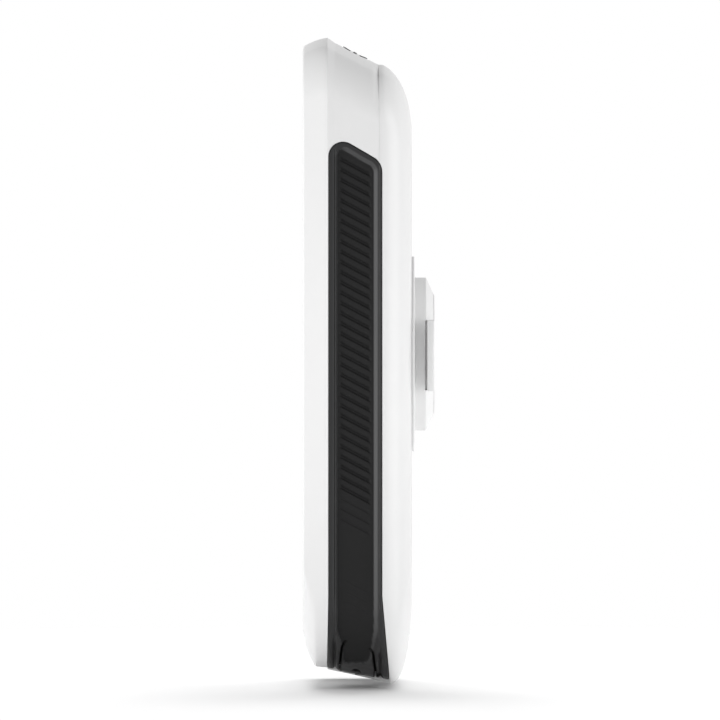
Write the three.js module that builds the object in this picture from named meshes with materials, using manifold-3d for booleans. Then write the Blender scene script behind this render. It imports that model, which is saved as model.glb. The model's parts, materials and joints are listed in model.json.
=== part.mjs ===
// Cycling computer: a touch-screen head unit with a quarter-turn mount on its back.
// Millimetres. +X is the rider's right, +Y points out of the back, +Z is up along the screen.
// The origin is the centre of the outer face of the quarter-turn mount.
import * as THREE from 'three';
import { mergeVertices } from 'three/addons/utils/BufferGeometryUtils.js';
import Module from 'manifold-3d';

const wasm = await Module();
wasm.setup();

// ---------------------------------------------------------------- driving dimensions
const RAD = Math.PI / 180;
const GAP = 0.06; // between pieces that are clamped or bonded together

// The skin of the case, as depths along Y and heights along Z.
const SKIN = {
  frontY: -21.3, // the flat front
  ridgeY: -17.3, // the widest line, where the front flare ends
  creaseY: -16.15, // the foot of the bevel behind the ridge
  rimY: -9.0, // where the back shell starts, a step proud of the top slope
  backY: -3.68, // the flat back
  halfWidth: 27.5,
  frontHalfWidth: 26.1,
  creaseHalfWidth: 27.4,
  rearHalfWidth: 27.3,
  top: 51.5,
  frontTop: 50.1,
  creaseTop: 50.7,
  rearTop: 47.5,
  topSlope: 26.7 * RAD, // the top falls towards the back at this angle
  chinTop: -44, // the front curves back below this height
  chinRadius: 12.4,
  chinBottom: -50.75,
  ridgeBottom: -50.95,
  sideBottom: -51.2,
  bottom: -53.5,
  bottomY: -7.2, // depth of the lowest point
  cornerTop: 8,
  cornerBottom: 12,
  crownTop: 160, // the top and bottom edges are long arcs
  crownBottom: 200,
  rollDepth: 6.29, // the back edge rolls over an ellipse this deep
  rollCentreY: -9.97,
  rollTop: 11.1,
  rollSide: 8.8,
  rollBottom: 14.5,
};

const CASE = {
  splitY: -17.6, // front frame to centre frame
  wall: 2.8,
  frontWall: 2.4,
  rearWall: 2.0,
  backWall: 1.45,
};

const LENS = { width: 44.6, height: 75.5, z: 6.7, radius: 3, thick: 1.0, ledge: 1.3 };
const GRIP = {
  frontY: -17.1,
  rearY: -8.5,
  top: 36.4, // height of the slanted top edge at the front edge
  slant: Math.tan(30 * RAD),
  cornerFront: 2.3,
  cornerRear: 2.6,
  flareZ: -38.5, // the grip widens below this height
  flareFrontY: -17.45,
  flareRearY: -7.35,
  thick: 1.15,
  bed: 0.08, // clearance under and round the rubber
  innerX: 13, // the rubber wraps the bottom corner as far as this
};
const FLAP = {
  topFront: [-14.4, -46.6],
  topRear: [-10.3, -47.9],
  lowFrontY: -14.95,
  lowRearY: -9.25,
  slit: 0.25,
  freeX: 4,
};
const PORT = { x: 12.5, y: -11.6, width: 8.3, depth: 3.3 };
const KEY = { x: 10.5, z: -38, width: 15, height: 6.6, travel: 0.35, cap: 1.55, flange: 0.4 };
const POWER = { y: -12.85, width: 12, depth: 4.6, proud: 0.25, wall: 2.52 };
const DISPLAY = { width: 41, height: 70.4, openWidth: 42.4, openHeight: 72.4 };
const BOARD = { frontY: -13.9, thick: 1.0, width: 45, top: 41, bottom: -47.5 };
const CHASSIS = { frontY: -16.3, thick: 1.0, width: 46.4, top: 41.4, bottom: -46 };
const CASE_SCREWS = [[16, 31.5], [-16, 31.5], [14, -36], [-14, -36]];
const BATTERY = { width: 38, bottom: -24, top: 26, frontY: -10.8, backY: -6.45 };
const MOUNT = {
  discRadius: 15.9,
  discFace: -3.2,
  bossRadius: 12.45,
  chamferDepth: 1.3,
  chamferRadial: 2.8,
  earRadius: 15.3,
  earWidth: 11.4,
  earThick: 1.15,
  screwCircle: 7.5,
};

// ---------------------------------------------------------------- solids
function toSolid(geometry) {
  const bare = geometry.clone();
  bare.deleteAttribute('normal');
  bare.deleteAttribute('uv');
  const merged = mergeVertices(bare, 1e-5);
  const mesh = new wasm.Mesh({
    numProp: 3,
    vertProperties: new Float32Array(merged.attributes.position.array),
    triVerts: new Uint32Array(merged.index.array),
  });
  return new wasm.Manifold(mesh);
}

function toGeometry(solid) {
  const mesh = solid.getMesh();
  const geometry = new THREE.BufferGeometry();
  geometry.setAttribute('position', new THREE.BufferAttribute(mesh.vertProperties, 3));
  geometry.setIndex(new THREE.BufferAttribute(mesh.triVerts, 1));
  const flat = geometry.toNonIndexed();
  flat.computeVertexNormals();
  return flat;
}

const join = (first, ...rest) => rest.reduce((sum, piece) => sum.add(piece), first);
const cut = (first, ...rest) => rest.reduce((left, piece) => left.subtract(piece), first);

function box(x0, x1, y0, y1, z0, z1) {
  const geometry = new THREE.BoxGeometry(x1 - x0, y1 - y0, z1 - z0);
  geometry.translate((x0 + x1) / 2, (y0 + y1) / 2, (z0 + z1) / 2);
  return toSolid(geometry);
}

function rodY(radius, y0, y1, x = 0, z = 0, sides = 16) {
  const geometry = new THREE.CylinderGeometry(radius, radius, y1 - y0, sides);
  geometry.translate(x, (y0 + y1) / 2, z);
  return toSolid(geometry);
}

function extrude(shape, length, basis, segments = 5) {
  const options = { depth: length, bevelEnabled: false, curveSegments: segments };
  const geometry = new THREE.ExtrudeGeometry(shape, options);
  geometry.applyMatrix4(basis);
  return toSolid(geometry);
}

const AXIS = {
  x: new THREE.Vector3(1, 0, 0),
  y: new THREE.Vector3(0, 1, 0),
  z: new THREE.Vector3(0, 0, 1),
};

// A shape drawn in X and Z, extruded from y0 to y1.
function alongY(shape, y0, y1) {
  const basis = new THREE.Matrix4().makeBasis(AXIS.x, AXIS.z, AXIS.y.clone().negate());
  return extrude(shape, y1 - y0, basis.setPosition(0, y1, 0));
}

// A shape drawn in Y and Z, extruded from x0 to x1.
function alongX(shape, x0, x1) {
  const basis = new THREE.Matrix4().makeBasis(AXIS.y, AXIS.z, AXIS.x);
  return extrude(shape, x1 - x0, basis.setPosition(x0, 0, 0));
}

// A shape drawn in X and Y, extruded from z0 to z1.
function alongZ(shape, z0, z1) {
  return extrude(shape, z1 - z0, new THREE.Matrix4().setPosition(0, 0, z0));
}

// A closed outline from corners [u, v, radius], each corner rounded.
function roundedShape(corners) {
  const shape = new THREE.Shape();
  corners.forEach(([u, v, radius = 0], i) => {
    const corner = new THREE.Vector2(u, v);
    const before = new THREE.Vector2(...corners.at(i - 1));
    const after = new THREE.Vector2(...corners[(i + 1) % corners.length]);
    const inward = before.sub(corner).normalize();
    const outward = after.sub(corner).normalize();
    const half = Math.acos(THREE.MathUtils.clamp(inward.dot(outward), -1, 1)) / 2;
    const reach = radius / Math.tan(half);
    const start = inward.multiplyScalar(reach).add(corner);
    const end = outward.multiplyScalar(reach).add(corner);
    if (i === 0) shape.moveTo(start.x, start.y);
    else shape.lineTo(start.x, start.y);
    if (radius > 0) shape.quadraticCurveTo(u, v, end.x, end.y);
  });
  shape.closePath();
  return shape;
}

function rectangle(width, height, radius, u = 0, v = 0) {
  const [a, b] = [width / 2, height / 2];
  return roundedShape([[u - a, v - b, radius], [u + a, v - b, radius],
    [u + a, v + b, radius], [u - a, v + b, radius]]);
}

function plateY(width, height, radius, y0, y1, x = 0, z = 0) {
  return alongY(rectangle(width, height, radius, x, z), y0, y1);
}

// ---------------------------------------------------------------- the skin of the case
const blend = (a, b, t) => a + (b - a) * t;

// Half width, top and bottom of the skin at one depth.
function skinAt(y) {
  const s = SKIN;
  if (y <= s.ridgeY) {
    const t = (y - s.frontY) / (s.ridgeY - s.frontY);
    const flare = 1 - (1 - t) ** 1.6;
    const d = y - s.frontY;
    const chinDepth = s.chinRadius - Math.sqrt(s.chinRadius ** 2 - (s.chinTop - s.chinBottom) ** 2);
    const arc = Math.sqrt(Math.max(0, 2 * s.chinRadius * d - d * d));
    const past = (d - chinDepth) / (s.ridgeY - s.frontY - chinDepth);
    const chin = d < chinDepth ? s.chinTop - arc : blend(s.chinBottom, s.ridgeBottom, past);
    return {
      half: blend(s.frontHalfWidth, s.halfWidth, t),
      top: blend(s.frontTop, s.top, flare),
      bottom: chin,
    };
  }
  const under = blend(s.sideBottom, s.bottom, (y - s.ridgeY) / (s.bottomY - s.ridgeY));
  if (y <= s.creaseY) {
    const t = (y - s.ridgeY) / (s.creaseY - s.ridgeY);
    return {
      half: blend(s.halfWidth, s.creaseHalfWidth, t),
      top: blend(s.top, s.creaseTop, t),
      bottom: under,
    };
  }
  if (y < s.rimY) {
    const t = (y - s.creaseY) / (s.rimY - s.creaseY);
    return {
      half: blend(s.creaseHalfWidth, s.rearHalfWidth, t),
      top: s.creaseTop - (y - s.creaseY) * Math.tan(s.topSlope),
      bottom: under,
    };
  }
  const u = Math.min(1, (y - s.rollCentreY) / s.rollDepth);
  const roll = 1 - Math.sqrt(1 - u * u);
  const low = Math.min(1, Math.max(0, (y - s.bottomY) / (s.backY - s.bottomY)));
  const lift = 1 - Math.sqrt(1 - low ** 2.4);
  return {
    half: s.rearHalfWidth - s.rollSide * roll,
    top: s.rearTop - s.rollTop * roll,
    bottom: y < s.bottomY ? under : s.bottom + s.rollBottom * lift,
  };
}

// One ring of the skin: long arcs at top and bottom, round corners, straight sides.
function ringAt(y, inset, probeY = y) {
  const skin = skinAt(probeY);
  const ring = [];
  const half = skin.half - inset;
  const quarter = (edge, sign, corner, crown) => {
    const centreX = half - corner;
    const crownZ = edge - sign * crown;
    const centreZ = crownZ + sign * Math.sqrt((crown - corner) ** 2 - centreX ** 2);
    const angle = Math.atan2(Math.abs(centreZ - crownZ), centreX);
    return { centreX, crownZ, centreZ, angle, corner, crown };
  };
  const up = quarter(skin.top - inset, 1, SKIN.cornerTop - inset, SKIN.crownTop - inset);
  const low = quarter(skin.bottom + inset, -1, SKIN.cornerBottom - inset, SKIN.crownBottom - inset);
  const arc = (cx, cz, radius, from, to, steps) => {
    for (let i = 0; i <= steps; i++) {
      const a = blend(from, to, i / steps);
      ring.push([cx + radius * Math.cos(a), cz + radius * Math.sin(a)]);
    }
  };
  const crownInside = (q, from, to) => {
    for (let i = 1; i < 4; i++) {
      const a = blend(from, to, i / 4);
      ring.push([q.crown * Math.cos(a), q.crownZ + q.crown * Math.sin(a)]);
    }
  };
  const turn = Math.PI;
  arc(up.centreX, up.centreZ, up.corner, 0, up.angle, 6);
  crownInside(up, up.angle, turn - up.angle);
  arc(-up.centreX, up.centreZ, up.corner, turn - up.angle, turn, 6);
  arc(-low.centreX, low.centreZ, low.corner, turn, turn + low.angle, 7);
  crownInside(low, turn + low.angle, 2 * turn - low.angle);
  arc(low.centreX, low.centreZ, low.corner, 2 * turn - low.angle, 2 * turn, 7);
  return ring.map(([x, z]) => [x, y, z]);
}

// A solid through rings, front to back, closed by a fan at each end.
function loft(rings) {
  const count = rings[0].length;
  const points = rings.flat();
  const faces = [];
  for (let r = 0; r + 1 < rings.length; r++) {
    for (let i = 0; i < count; i++) {
      const a = r * count + i;
      const b = r * count + (i + 1) % count;
      faces.push([a, b + count, b], [a, a + count, b + count]);
    }
  }
  const centre = (ring) => [0, ring[0][1], (ring[0][2] + ring[count / 2 | 0][2]) / 2];
  points.push(centre(rings[0]), centre(rings.at(-1)));
  const lastStart = (rings.length - 1) * count;
  for (let i = 0; i < count; i++) {
    const next = (i + 1) % count;
    faces.push([points.length - 2, i, next]);
    faces.push([points.length - 1, lastStart + next, lastStart + i]);
  }
  const geometry = new THREE.BufferGeometry();
  geometry.setAttribute('position', new THREE.Float32BufferAttribute(points.flat(), 3));
  geometry.setIndex(faces.flat());
  return toSolid(geometry);
}

const STATIONS = [SKIN.frontY, -21.15, -20.8, -20.2, SKIN.frontY + 2, -18.2, CASE.splitY,
  SKIN.ridgeY, SKIN.creaseY, -13, SKIN.rimY, -8.2, SKIN.bottomY, -6.2, -5.3, -4.6, -4.1, -3.8,
  SKIN.backY];

// The skin between two depths, moved inwards. Inner skins read the outer one at y + ahead.
function skin(y0, y1, inset = 0, ahead = 0) {
  const depths = [y0, ...STATIONS.filter((y) => y > y0 + 0.05 && y < y1 - 0.05), y1];
  return loft(depths.map((y) => ringAt(y, inset, Math.min(y + ahead, SKIN.backY - 0.05))));
}

// ---------------------------------------------------------------- materials and nodes
function finish(color, roughness, metalness = 0) {
  return () => new THREE.MeshStandardMaterial({ color, roughness, metalness });
}

const FINISH = {
  white: finish(0xe9eaec, 0.42),
  rubber: finish(0x26272a, 0.78),
  mount: finish(0xd3d5d7, 0.5),
  glass: finish(0x0b0c0e, 0.08),
  black: finish(0x1a1b1d, 0.6),
  board: finish(0x12452e, 0.55),
  steel: finish(0x9fa3a8, 0.35, 0.9),
  aluminium: finish(0xb4b7bb, 0.4, 0.85),
  brass: finish(0xb08d4a, 0.35, 0.9),
  silicone: finish(0x5b5e63, 0.7),
  flex: finish(0xa8641c, 0.45),
  foil: finish(0x74787d, 0.5),
  ceramic: finish(0xd9d2bd, 0.5),
};

const computer = new THREE.Group();

function add(name, material, solid, parent = computer, position = [0, 0, 0]) {
  const mesh = new THREE.Mesh(toGeometry(solid), material());
  mesh.name = name;
  mesh.position.set(...position);
  parent.add(mesh);
  return mesh;
}

// ---------------------------------------------------------------- side grips and weather cap
function gripShape(grow) {
  const frontY = GRIP.frontY - grow;
  const rearY = GRIP.rearY + grow;
  const topAt = (y) => GRIP.top + grow - GRIP.slant * (y - GRIP.frontY);
  return roundedShape([
    [frontY, topAt(frontY), GRIP.cornerFront],
    [frontY, GRIP.flareZ, 0],
    [GRIP.flareFrontY - grow, -56, 0],
    [GRIP.flareRearY + grow, -56, 0],
    [GRIP.flareRearY + grow, -51.5, 0],
    [rearY, GRIP.flareZ, 0],
    [rearY, topAt(rearY), GRIP.cornerRear],
  ]);
}

function flapShape(grow) {
  const [frontY, frontZ] = FLAP.topFront;
  const [rearY, rearZ] = FLAP.topRear;
  return roundedShape([
    [frontY - grow, frontZ + grow, 0],
    [FLAP.lowFrontY - grow, -56, 0],
    [FLAP.lowRearY + grow, -56, 0],
    [FLAP.lowRearY + grow, -52, 0],
    [rearY + grow, rearZ + grow, 0],
  ]);
}

const slab = (inset) => cut(skin(-18, -6, 0), skin(-18.5, -5.5, inset));
const gripSlab = slab(GRIP.thick);
const bedSlab = cut(skin(-18, -6, -0.5), skin(-18.5, -5.5, GRIP.thick + GRIP.bed));
const gripFoot = { right: [GRIP.innerX, 31], left: [-31, -GRIP.innerX] };
const flapRegion = alongX(flapShape(0), FLAP.freeX, 31);
const flapBay = alongX(flapShape(FLAP.slit), FLAP.freeX - FLAP.slit, 31);
const gripBeds = join(
  bedSlab.intersect(alongX(gripShape(GRIP.bed), ...gripFoot.right.map((x) => x - GRIP.bed))),
  bedSlab.intersect(alongX(gripShape(GRIP.bed), ...gripFoot.left.map((x) => x + GRIP.bed))),
  bedSlab.intersect(alongX(flapShape(GRIP.bed), FLAP.freeX - GRIP.bed, 31)),
);

function makeGrips() {
  const left = gripSlab.intersect(alongX(gripShape(0), ...gripFoot.left));
  const right = gripSlab.intersect(alongX(gripShape(0), ...gripFoot.right));
  add('side_grip_left', FINISH.rubber, left);
  add('side_grip_right', FINISH.rubber, cut(right, flapBay));
  const innerFace = skinAt(PORT.y).bottom + GRIP.thick;
  const plugShape = rectangle(PORT.width - 1.3, PORT.depth - 0.7, 0.6, PORT.x, PORT.y);
  const plug = alongZ(plugShape, innerFace - 0.3, innerFace + 1.15);
  add('weather_cap', FINISH.rubber, join(gripSlab.intersect(flapRegion), plug));
}

// ---------------------------------------------------------------- case shells
const portHole = alongZ(rectangle(PORT.width, PORT.depth, 0.8, PORT.x, PORT.y), -53, -46);
const keyShape = (grow, x) =>
  rectangle(KEY.width + 2 * grow, KEY.height + 2 * grow, KEY.height / 2 + grow - 0.05, x, KEY.z);

function makeFrontFrame() {
  const seatBack = SKIN.frontY + LENS.ledge - 0.02;
  const shell = skin(SKIN.frontY, CASE.splitY);
  const lensSeat = plateY(LENS.width + 0.2, LENS.height + 0.2, LENS.radius + 0.1,
    SKIN.frontY - 1, seatBack, 0, LENS.z);
  const window = plateY(DISPLAY.openWidth, DISPLAY.openHeight, 1.5, SKIN.frontY - 1, -17, 0, LENS.z);
  const hollow = skin(-19.1, -17, CASE.frontWall);
  const keyHoles = [-KEY.x, KEY.x].map((x) => alongY(keyShape(0.12, x), SKIN.frontY - 1, -17));
  const keyBay = plateY(38.5, 9, 2, -19.85, -18, 0, KEY.z);
  add('front_frame', FINISH.white, cut(shell, lensSeat, window, hollow, keyBay, ...keyHoles));
}

function makeCentreFrame() {
  const y0 = CASE.splitY + GAP;
  const y1 = SKIN.rimY - 0.05;
  const shell = skin(y0, y1);
  const hollow = skin(y0 - 1, y1 + 1, CASE.wall);
  const sealRebate = skin(y1 - 0.85, y1 + 0.5, 2.0);
  const keyHole = alongZ(rectangle(POWER.width + 0.24, POWER.depth + 0.24, 1.6), -6, 3);
  const tilted = keyHole.transform(powerFrame.matrix.toArray());
  add('centre_frame', FINISH.white, cut(shell, hollow, sealRebate, gripBeds, portHole, tilted));
}

function makeRearHousing() {
  const y0 = SKIN.rimY + 0.01;
  const shell = skin(y0, SKIN.backY);
  const hollow = skin(y0 - 1, SKIN.backY - CASE.backWall, CASE.rearWall, CASE.backWall);
  let housing = cut(shell, hollow);
  for (const [x, z] of CASE_SCREWS) {
    housing = join(housing, rodY(3, y0, -5, x, z));
  }
  for (const [x, z] of CASE_SCREWS) {
    housing = cut(housing, rodY(1.75, -6.35, -2, x, z), rodY(1.0, -10, -6, x, z, 12));
  }
  for (const [x, z] of mountScrewSpots) {
    housing = cut(housing, rodY(0.95, -6, -3, x, z, 12));
  }
  add('rear_housing', FINISH.white, cut(housing, gripBeds));
}

function makeCaseSeal() {
  const y1 = SKIN.rimY - 0.02;
  const y0 = SKIN.rimY - 0.85;
  const ring = cut(skin(y0, y1, 2.12), skin(y0 - 0.5, y1 + 0.5, 2.72));
  add('case_seal', FINISH.silicone, ring);
}

function turned(points, sides = 16) {
  return toSolid(new THREE.LatheGeometry(points.map(([r, y]) => new THREE.Vector2(r, y)), sides));
}

function makeCaseScrews() {
  const screw = turned([[0, -7.7], [0.8, -7.4], [0.8, 0], [1.6, 0], [1.6, 0.7], [1.2, 1.05], [0, 1.05]]);
  const socket = toSolid(new THREE.CylinderGeometry(0.75, 0.75, 1.2, 6).translate(0, 1.05, 0));
  CASE_SCREWS.forEach(([x, z], i) => {
    add(`case_screw_${i + 1}`, FINISH.steel, cut(screw, socket), computer, [x, -6.3, z]);
  });
}

// ---------------------------------------------------------------- screen stack
function makeScreen() {
  const lensBack = SKIN.frontY + LENS.thick;
  const plate = (width, height, radius, y0, y1) => plateY(width, height, radius, y0, y1, 0, LENS.z);
  add('cover_lens', FINISH.glass, plate(LENS.width, LENS.height, LENS.radius, SKIN.frontY, lensBack));
  const gasket = cut(
    plate(LENS.width - 0.4, LENS.height - 0.4, LENS.radius, lensBack + 0.04, lensBack + 0.24),
    plate(DISPLAY.openWidth + 0.2, DISPLAY.openHeight + 0.2, 1.5, lensBack - 1, lensBack + 1),
  );
  add('lens_gasket', FINISH.black, gasket);
  const touchWidth = DISPLAY.openWidth - 0.6;
  const touchHeight = DISPLAY.openHeight - 0.8;
  add('touch_panel', FINISH.glass, plate(touchWidth, touchHeight, 1, lensBack + 0.05, -19.85));
  add('display_panel', FINISH.glass, plate(DISPLAY.width, DISPLAY.height, 0.8, -19.78, -18.0));
  add('backlight', FINISH.ceramic, plate(DISPLAY.width, DISPLAY.height, 0.8, -17.92, -16.92));
  const flexShape = roundedShape([[-19.2, -28.75], [-19.2, -29.4], [-14.0, -29.4], [-14.0, -29.15],
    [-18.95, -29.15], [-18.95, -28.75]]);
  add('display_flex', FINISH.flex, alongX(flexShape, -6, 6));
}

// ---------------------------------------------------------------- chassis and electronics
function makeChassis() {
  const backY = CHASSIS.frontY + CHASSIS.thick;
  const height = CHASSIS.top - CHASSIS.bottom;
  const middle = (CHASSIS.top + CHASSIS.bottom) / 2;
  const plate = plateY(CHASSIS.width, height, 6, CHASSIS.frontY, backY, 0, middle);
  const bosses = CASE_SCREWS.map(([x, z]) => rodY(2.2, backY - 0.2, SKIN.rimY - 0.02, x, z));
  const posts = [[-20, 4], [20, 4]].map(([x, z]) => rodY(1.4, backY - 0.2, BOARD.frontY - 0.04, x, z, 10));
  const bores = CASE_SCREWS.map(([x, z]) => rodY(0.86, -14.6, -8, x, z, 16));
  const slot = box(-7, 7, -17, -15, -30.3, -28.1);
  add('mid_chassis', FINISH.aluminium, cut(join(plate, ...bosses, ...posts), ...bores, slot));
}

function makeMainBoard() {
  const backY = BOARD.frontY + BOARD.thick;
  const half = BOARD.width / 2;
  const outline = roundedShape([[-half, BOARD.bottom, 9], [half, BOARD.bottom, 9],
    [half, BOARD.top, 3], [-half, BOARD.top, 3]]);
  const plate = alongY(outline, BOARD.frontY, backY);
  const holes = CASE_SCREWS.map(([x, z]) => rodY(2.5, -15, -12, x, z));
  add('main_board', FINISH.board, cut(plate, ...holes));
  const can = (width, height, tall, x, z) =>
    plateY(width, height, 0.6, backY + 0.05, backY + tall, x, z);
  add('processor_shield', FINISH.foil, can(20, 18, 1.7, -8, 14));
  add('radio_shield', FINISH.foil, can(14, 13, 1.7, 12, 17));
  add('battery_socket', FINISH.ceramic, can(6, 3.5, 1.85, -12, -29.6));
  add('usb_connector', FINISH.steel, makeUsbShell());
  const antenna = plateY(11, 3.0, 0.5, -18.9, -15.4, -13.6, 44.6);
  add('gps_antenna', FINISH.ceramic, antenna);
}

function makeUsbShell() {
  const z0 = -49.55;
  const shell = alongZ(rectangle(7.6, 2.6, 0.5, PORT.x, PORT.y + 0.02), z0, -44.4);
  const mouth = alongZ(rectangle(7.0, 2.0, 0.3, PORT.x, PORT.y + 0.02), z0 - 1, -45.2);
  const tongue = box(PORT.x - 2.6, PORT.x + 2.6, PORT.y - 0.5, PORT.y + 0.2, z0 + 0.6, -45);
  return join(cut(shell, mouth), tongue);
}

function makeBattery() {
  const height = BATTERY.top - BATTERY.bottom;
  const z = (BATTERY.top + BATTERY.bottom) / 2;
  const cell = plateY(BATTERY.width, height, 1.5, BATTERY.frontY, BATTERY.backY, 0, z);
  add('battery', FINISH.foil, cell);
  add('battery_pad', FINISH.black, cut(
    plateY(30, 44, 2, BATTERY.backY + 0.04, BATTERY.backY + 0.36, 0, z),
    ...mountScrewSpots.map(([x, zs]) => rodY(2.2, -7, -5, x, zs, 12)),
  ));
  const lead = roundedShape([[-9.1, BATTERY.bottom - 0.05], [-9.1, -29.6], [-10.95, -29.6],
    [-10.95, -30.6], [-8.2, -30.6], [-8.2, BATTERY.bottom - 0.05]]);
  add('battery_lead', FINISH.black, alongX(lead, -13.5, -10.5));
  add('buzzer', FINISH.brass, rodY(5.4, -6.7, -5.6, -6, 32.5, 20));
}

// ---------------------------------------------------------------- front keys
function makeFrontKeys() {
  const backOfCap = SKIN.frontY + KEY.cap;
  const flangeBack = backOfCap + KEY.flange;
  const boardFront = -17.0;
  const sockets = [];
  for (const [name, x] of [['lap', -KEY.x], ['start', KEY.x]]) {
    const cap = alongY(keyShape(0, x), SKIN.frontY, backOfCap + 0.1);
    const flange = plateY(KEY.width + 1.6, KEY.height + 1.6, 3, backOfCap, flangeBack, x, KEY.z);
    const stem = rodY(0.9, flangeBack - 0.1, -18.25, x, KEY.z, 12);
    add(`${name}_key`, FINISH.white, join(cap, flange, stem));
    add(`${name}_switch_plunger`, FINISH.black, rodY(0.85, -18.2, -17.75, x, KEY.z, 12));
    const base = plateY(4.2, 4.2, 0.4, -17.95, boardFront - 0.03, x, KEY.z);
    add(`${name}_switch`, FINISH.steel, cut(base, rodY(1.08, -19, -17.3, x, KEY.z, 12)));
    sockets.push(rodY(1.6, -20, -17, x, KEY.z, 12));
  }
  const membrane = plateY(37, 8, 2, flangeBack + KEY.travel + 0.1, flangeBack + KEY.travel + 0.5, 0, KEY.z);
  add('key_membrane', FINISH.silicone, cut(membrane, ...sockets));
  add('key_board', FINISH.board, plateY(37, 9, 1.5, boardFront, boardFront + 0.6, 0, KEY.z));
}

// ---------------------------------------------------------------- power key on the top slope
// Its group is turned so that local +Z is the outward normal of the slope.
const powerFrame = new THREE.Group();
const powerTop = SKIN.creaseTop - (POWER.y - SKIN.creaseY) * Math.tan(SKIN.topSlope);
powerFrame.position.set(0, POWER.y, powerTop);
powerFrame.rotation.x = -SKIN.topSlope;
powerFrame.updateMatrix();
computer.add(powerFrame);

function makePowerKey() {
  const wall = -POWER.wall;
  const cap = alongZ(rectangle(POWER.width, POWER.depth, 1.5), wall - 0.5, 0.1);
  const crown = alongZ(rectangle(POWER.width - 0.5, POWER.depth - 0.5, 1.3), 0, POWER.proud);
  const flange = alongZ(rectangle(POWER.width + 1.4, POWER.depth + 1.2, 1.2), wall - 0.85, wall - 0.35);
  const stem = alongZ(rectangle(1.8, 1.8, 0.4), wall - 1.9, wall - 0.7);
  add('power_key', FINISH.white, join(cap, crown, flange, stem), powerFrame);
  const plungerTop = wall - 1.95;
  add('power_switch_plunger', FINISH.black,
    alongZ(rectangle(1.7, 1.7, 0.4), plungerTop - 0.5, plungerTop), powerFrame);
  const baseTop = plungerTop - 0.25;
  const base = alongZ(rectangle(4.6, 3.4, 0.4), baseTop - 1.2, baseTop);
  const well = alongZ(rectangle(2.1, 2.1, 0.4), baseTop - 0.85, baseTop + 1);
  add('power_switch', FINISH.steel, cut(base, well), powerFrame);
  add('power_board', FINISH.board,
    alongZ(rectangle(12, 4.4, 0.6), baseTop - 1.95, baseTop - 1.24), powerFrame);
}

// ---------------------------------------------------------------- quarter-turn mount
const mountScrewSpots = [0, 1, 2, 3].map((i) => {
  const a = (45 + 90 * i) * RAD;
  return [MOUNT.screwCircle * Math.cos(a), MOUNT.screwCircle * Math.sin(a)];
});

function makeMount() {
  const m = MOUNT;
  const backY = SKIN.backY + GAP;
  const body = turned([
    [0, backY], [m.discRadius - 0.1, backY], [m.discRadius, m.discFace - 0.15],
    [m.discRadius - 0.15, m.discFace], [m.bossRadius, m.discFace],
    [m.bossRadius, -m.chamferDepth], [m.bossRadius - m.chamferRadial, 0], [0, 0],
  ], 48);
  const earDisc = rodY(m.earRadius, -m.earThick, 0, 0, 0, 48);
  const earBand = box(-20, 20, -m.earThick, 0, -m.earWidth / 2, m.earWidth / 2);
  const bores = mountScrewSpots.map(([x, z]) => rodY(0.76, -5, -1.2, x, z, 12));
  const groove = cut(rodY(10.6, -4, -3.3, 0, 0, 32), rodY(9.6, -5, -3, 0, 0, 32));
  add('mount_insert', FINISH.mount, cut(join(body, earDisc.intersect(earBand)), ...bores, groove));
  const seal = cut(rodY(10.5, backY, -3.35, 0, 0, 32), rodY(9.7, -5, -3, 0, 0, 32));
  add('mount_seal', FINISH.silicone, seal);
  const screw = turned([[0, -0.85], [1.3, -0.85], [1.4, -0.6], [1.4, 0], [0.7, 0], [0.7, 3.6], [0, 3.9]], 12);
  mountScrewSpots.forEach(([x, z], i) => {
    add(`mount_screw_${i + 1}`, FINISH.steel, screw, computer, [x, -5.19, z]);
  });
}

makeFrontFrame();
makeCentreFrame();
makeRearHousing();
makeCaseSeal();
makeCaseScrews();
makeGrips();
makeScreen();
makeChassis();
makeMainBoard();
makeBattery();
makeFrontKeys();
makePowerKey();
makeMount();

export default computer;
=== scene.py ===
"""Cycling computer: the visible pieces, their materials and a plain studio, built round the packed frame.

Laid out as an add-on: settings, one operator for each piece or group of pieces, and a sidebar panel.
Lengths inside the geometry code are millimetres in the frame's own axes; meshes are written in metres.
"""
import json
import math

import bpy
import numpy as np
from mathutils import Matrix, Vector


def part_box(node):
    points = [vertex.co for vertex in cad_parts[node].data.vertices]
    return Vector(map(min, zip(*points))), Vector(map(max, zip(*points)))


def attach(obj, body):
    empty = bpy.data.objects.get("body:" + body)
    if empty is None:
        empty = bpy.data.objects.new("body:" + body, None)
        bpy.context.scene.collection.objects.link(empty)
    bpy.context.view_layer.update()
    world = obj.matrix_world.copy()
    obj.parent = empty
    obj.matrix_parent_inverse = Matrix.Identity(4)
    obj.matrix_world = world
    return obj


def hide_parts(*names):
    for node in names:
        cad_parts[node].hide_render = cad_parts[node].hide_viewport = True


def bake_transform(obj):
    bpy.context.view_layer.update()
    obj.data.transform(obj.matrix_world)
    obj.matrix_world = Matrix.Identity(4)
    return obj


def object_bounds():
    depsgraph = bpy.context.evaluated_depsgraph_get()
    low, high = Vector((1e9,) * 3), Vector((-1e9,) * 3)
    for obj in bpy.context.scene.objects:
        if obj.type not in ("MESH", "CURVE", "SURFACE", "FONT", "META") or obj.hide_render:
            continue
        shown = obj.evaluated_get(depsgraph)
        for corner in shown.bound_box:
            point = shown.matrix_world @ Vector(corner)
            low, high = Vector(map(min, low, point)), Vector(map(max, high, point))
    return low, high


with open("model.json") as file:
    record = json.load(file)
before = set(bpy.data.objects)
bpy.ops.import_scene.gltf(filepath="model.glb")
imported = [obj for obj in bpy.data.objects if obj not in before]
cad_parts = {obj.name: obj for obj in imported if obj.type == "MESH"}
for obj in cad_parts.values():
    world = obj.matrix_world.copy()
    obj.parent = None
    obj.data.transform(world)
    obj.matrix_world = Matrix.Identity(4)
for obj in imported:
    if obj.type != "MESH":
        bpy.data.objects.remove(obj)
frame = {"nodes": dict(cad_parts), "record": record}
CAD_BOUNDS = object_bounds()

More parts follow.
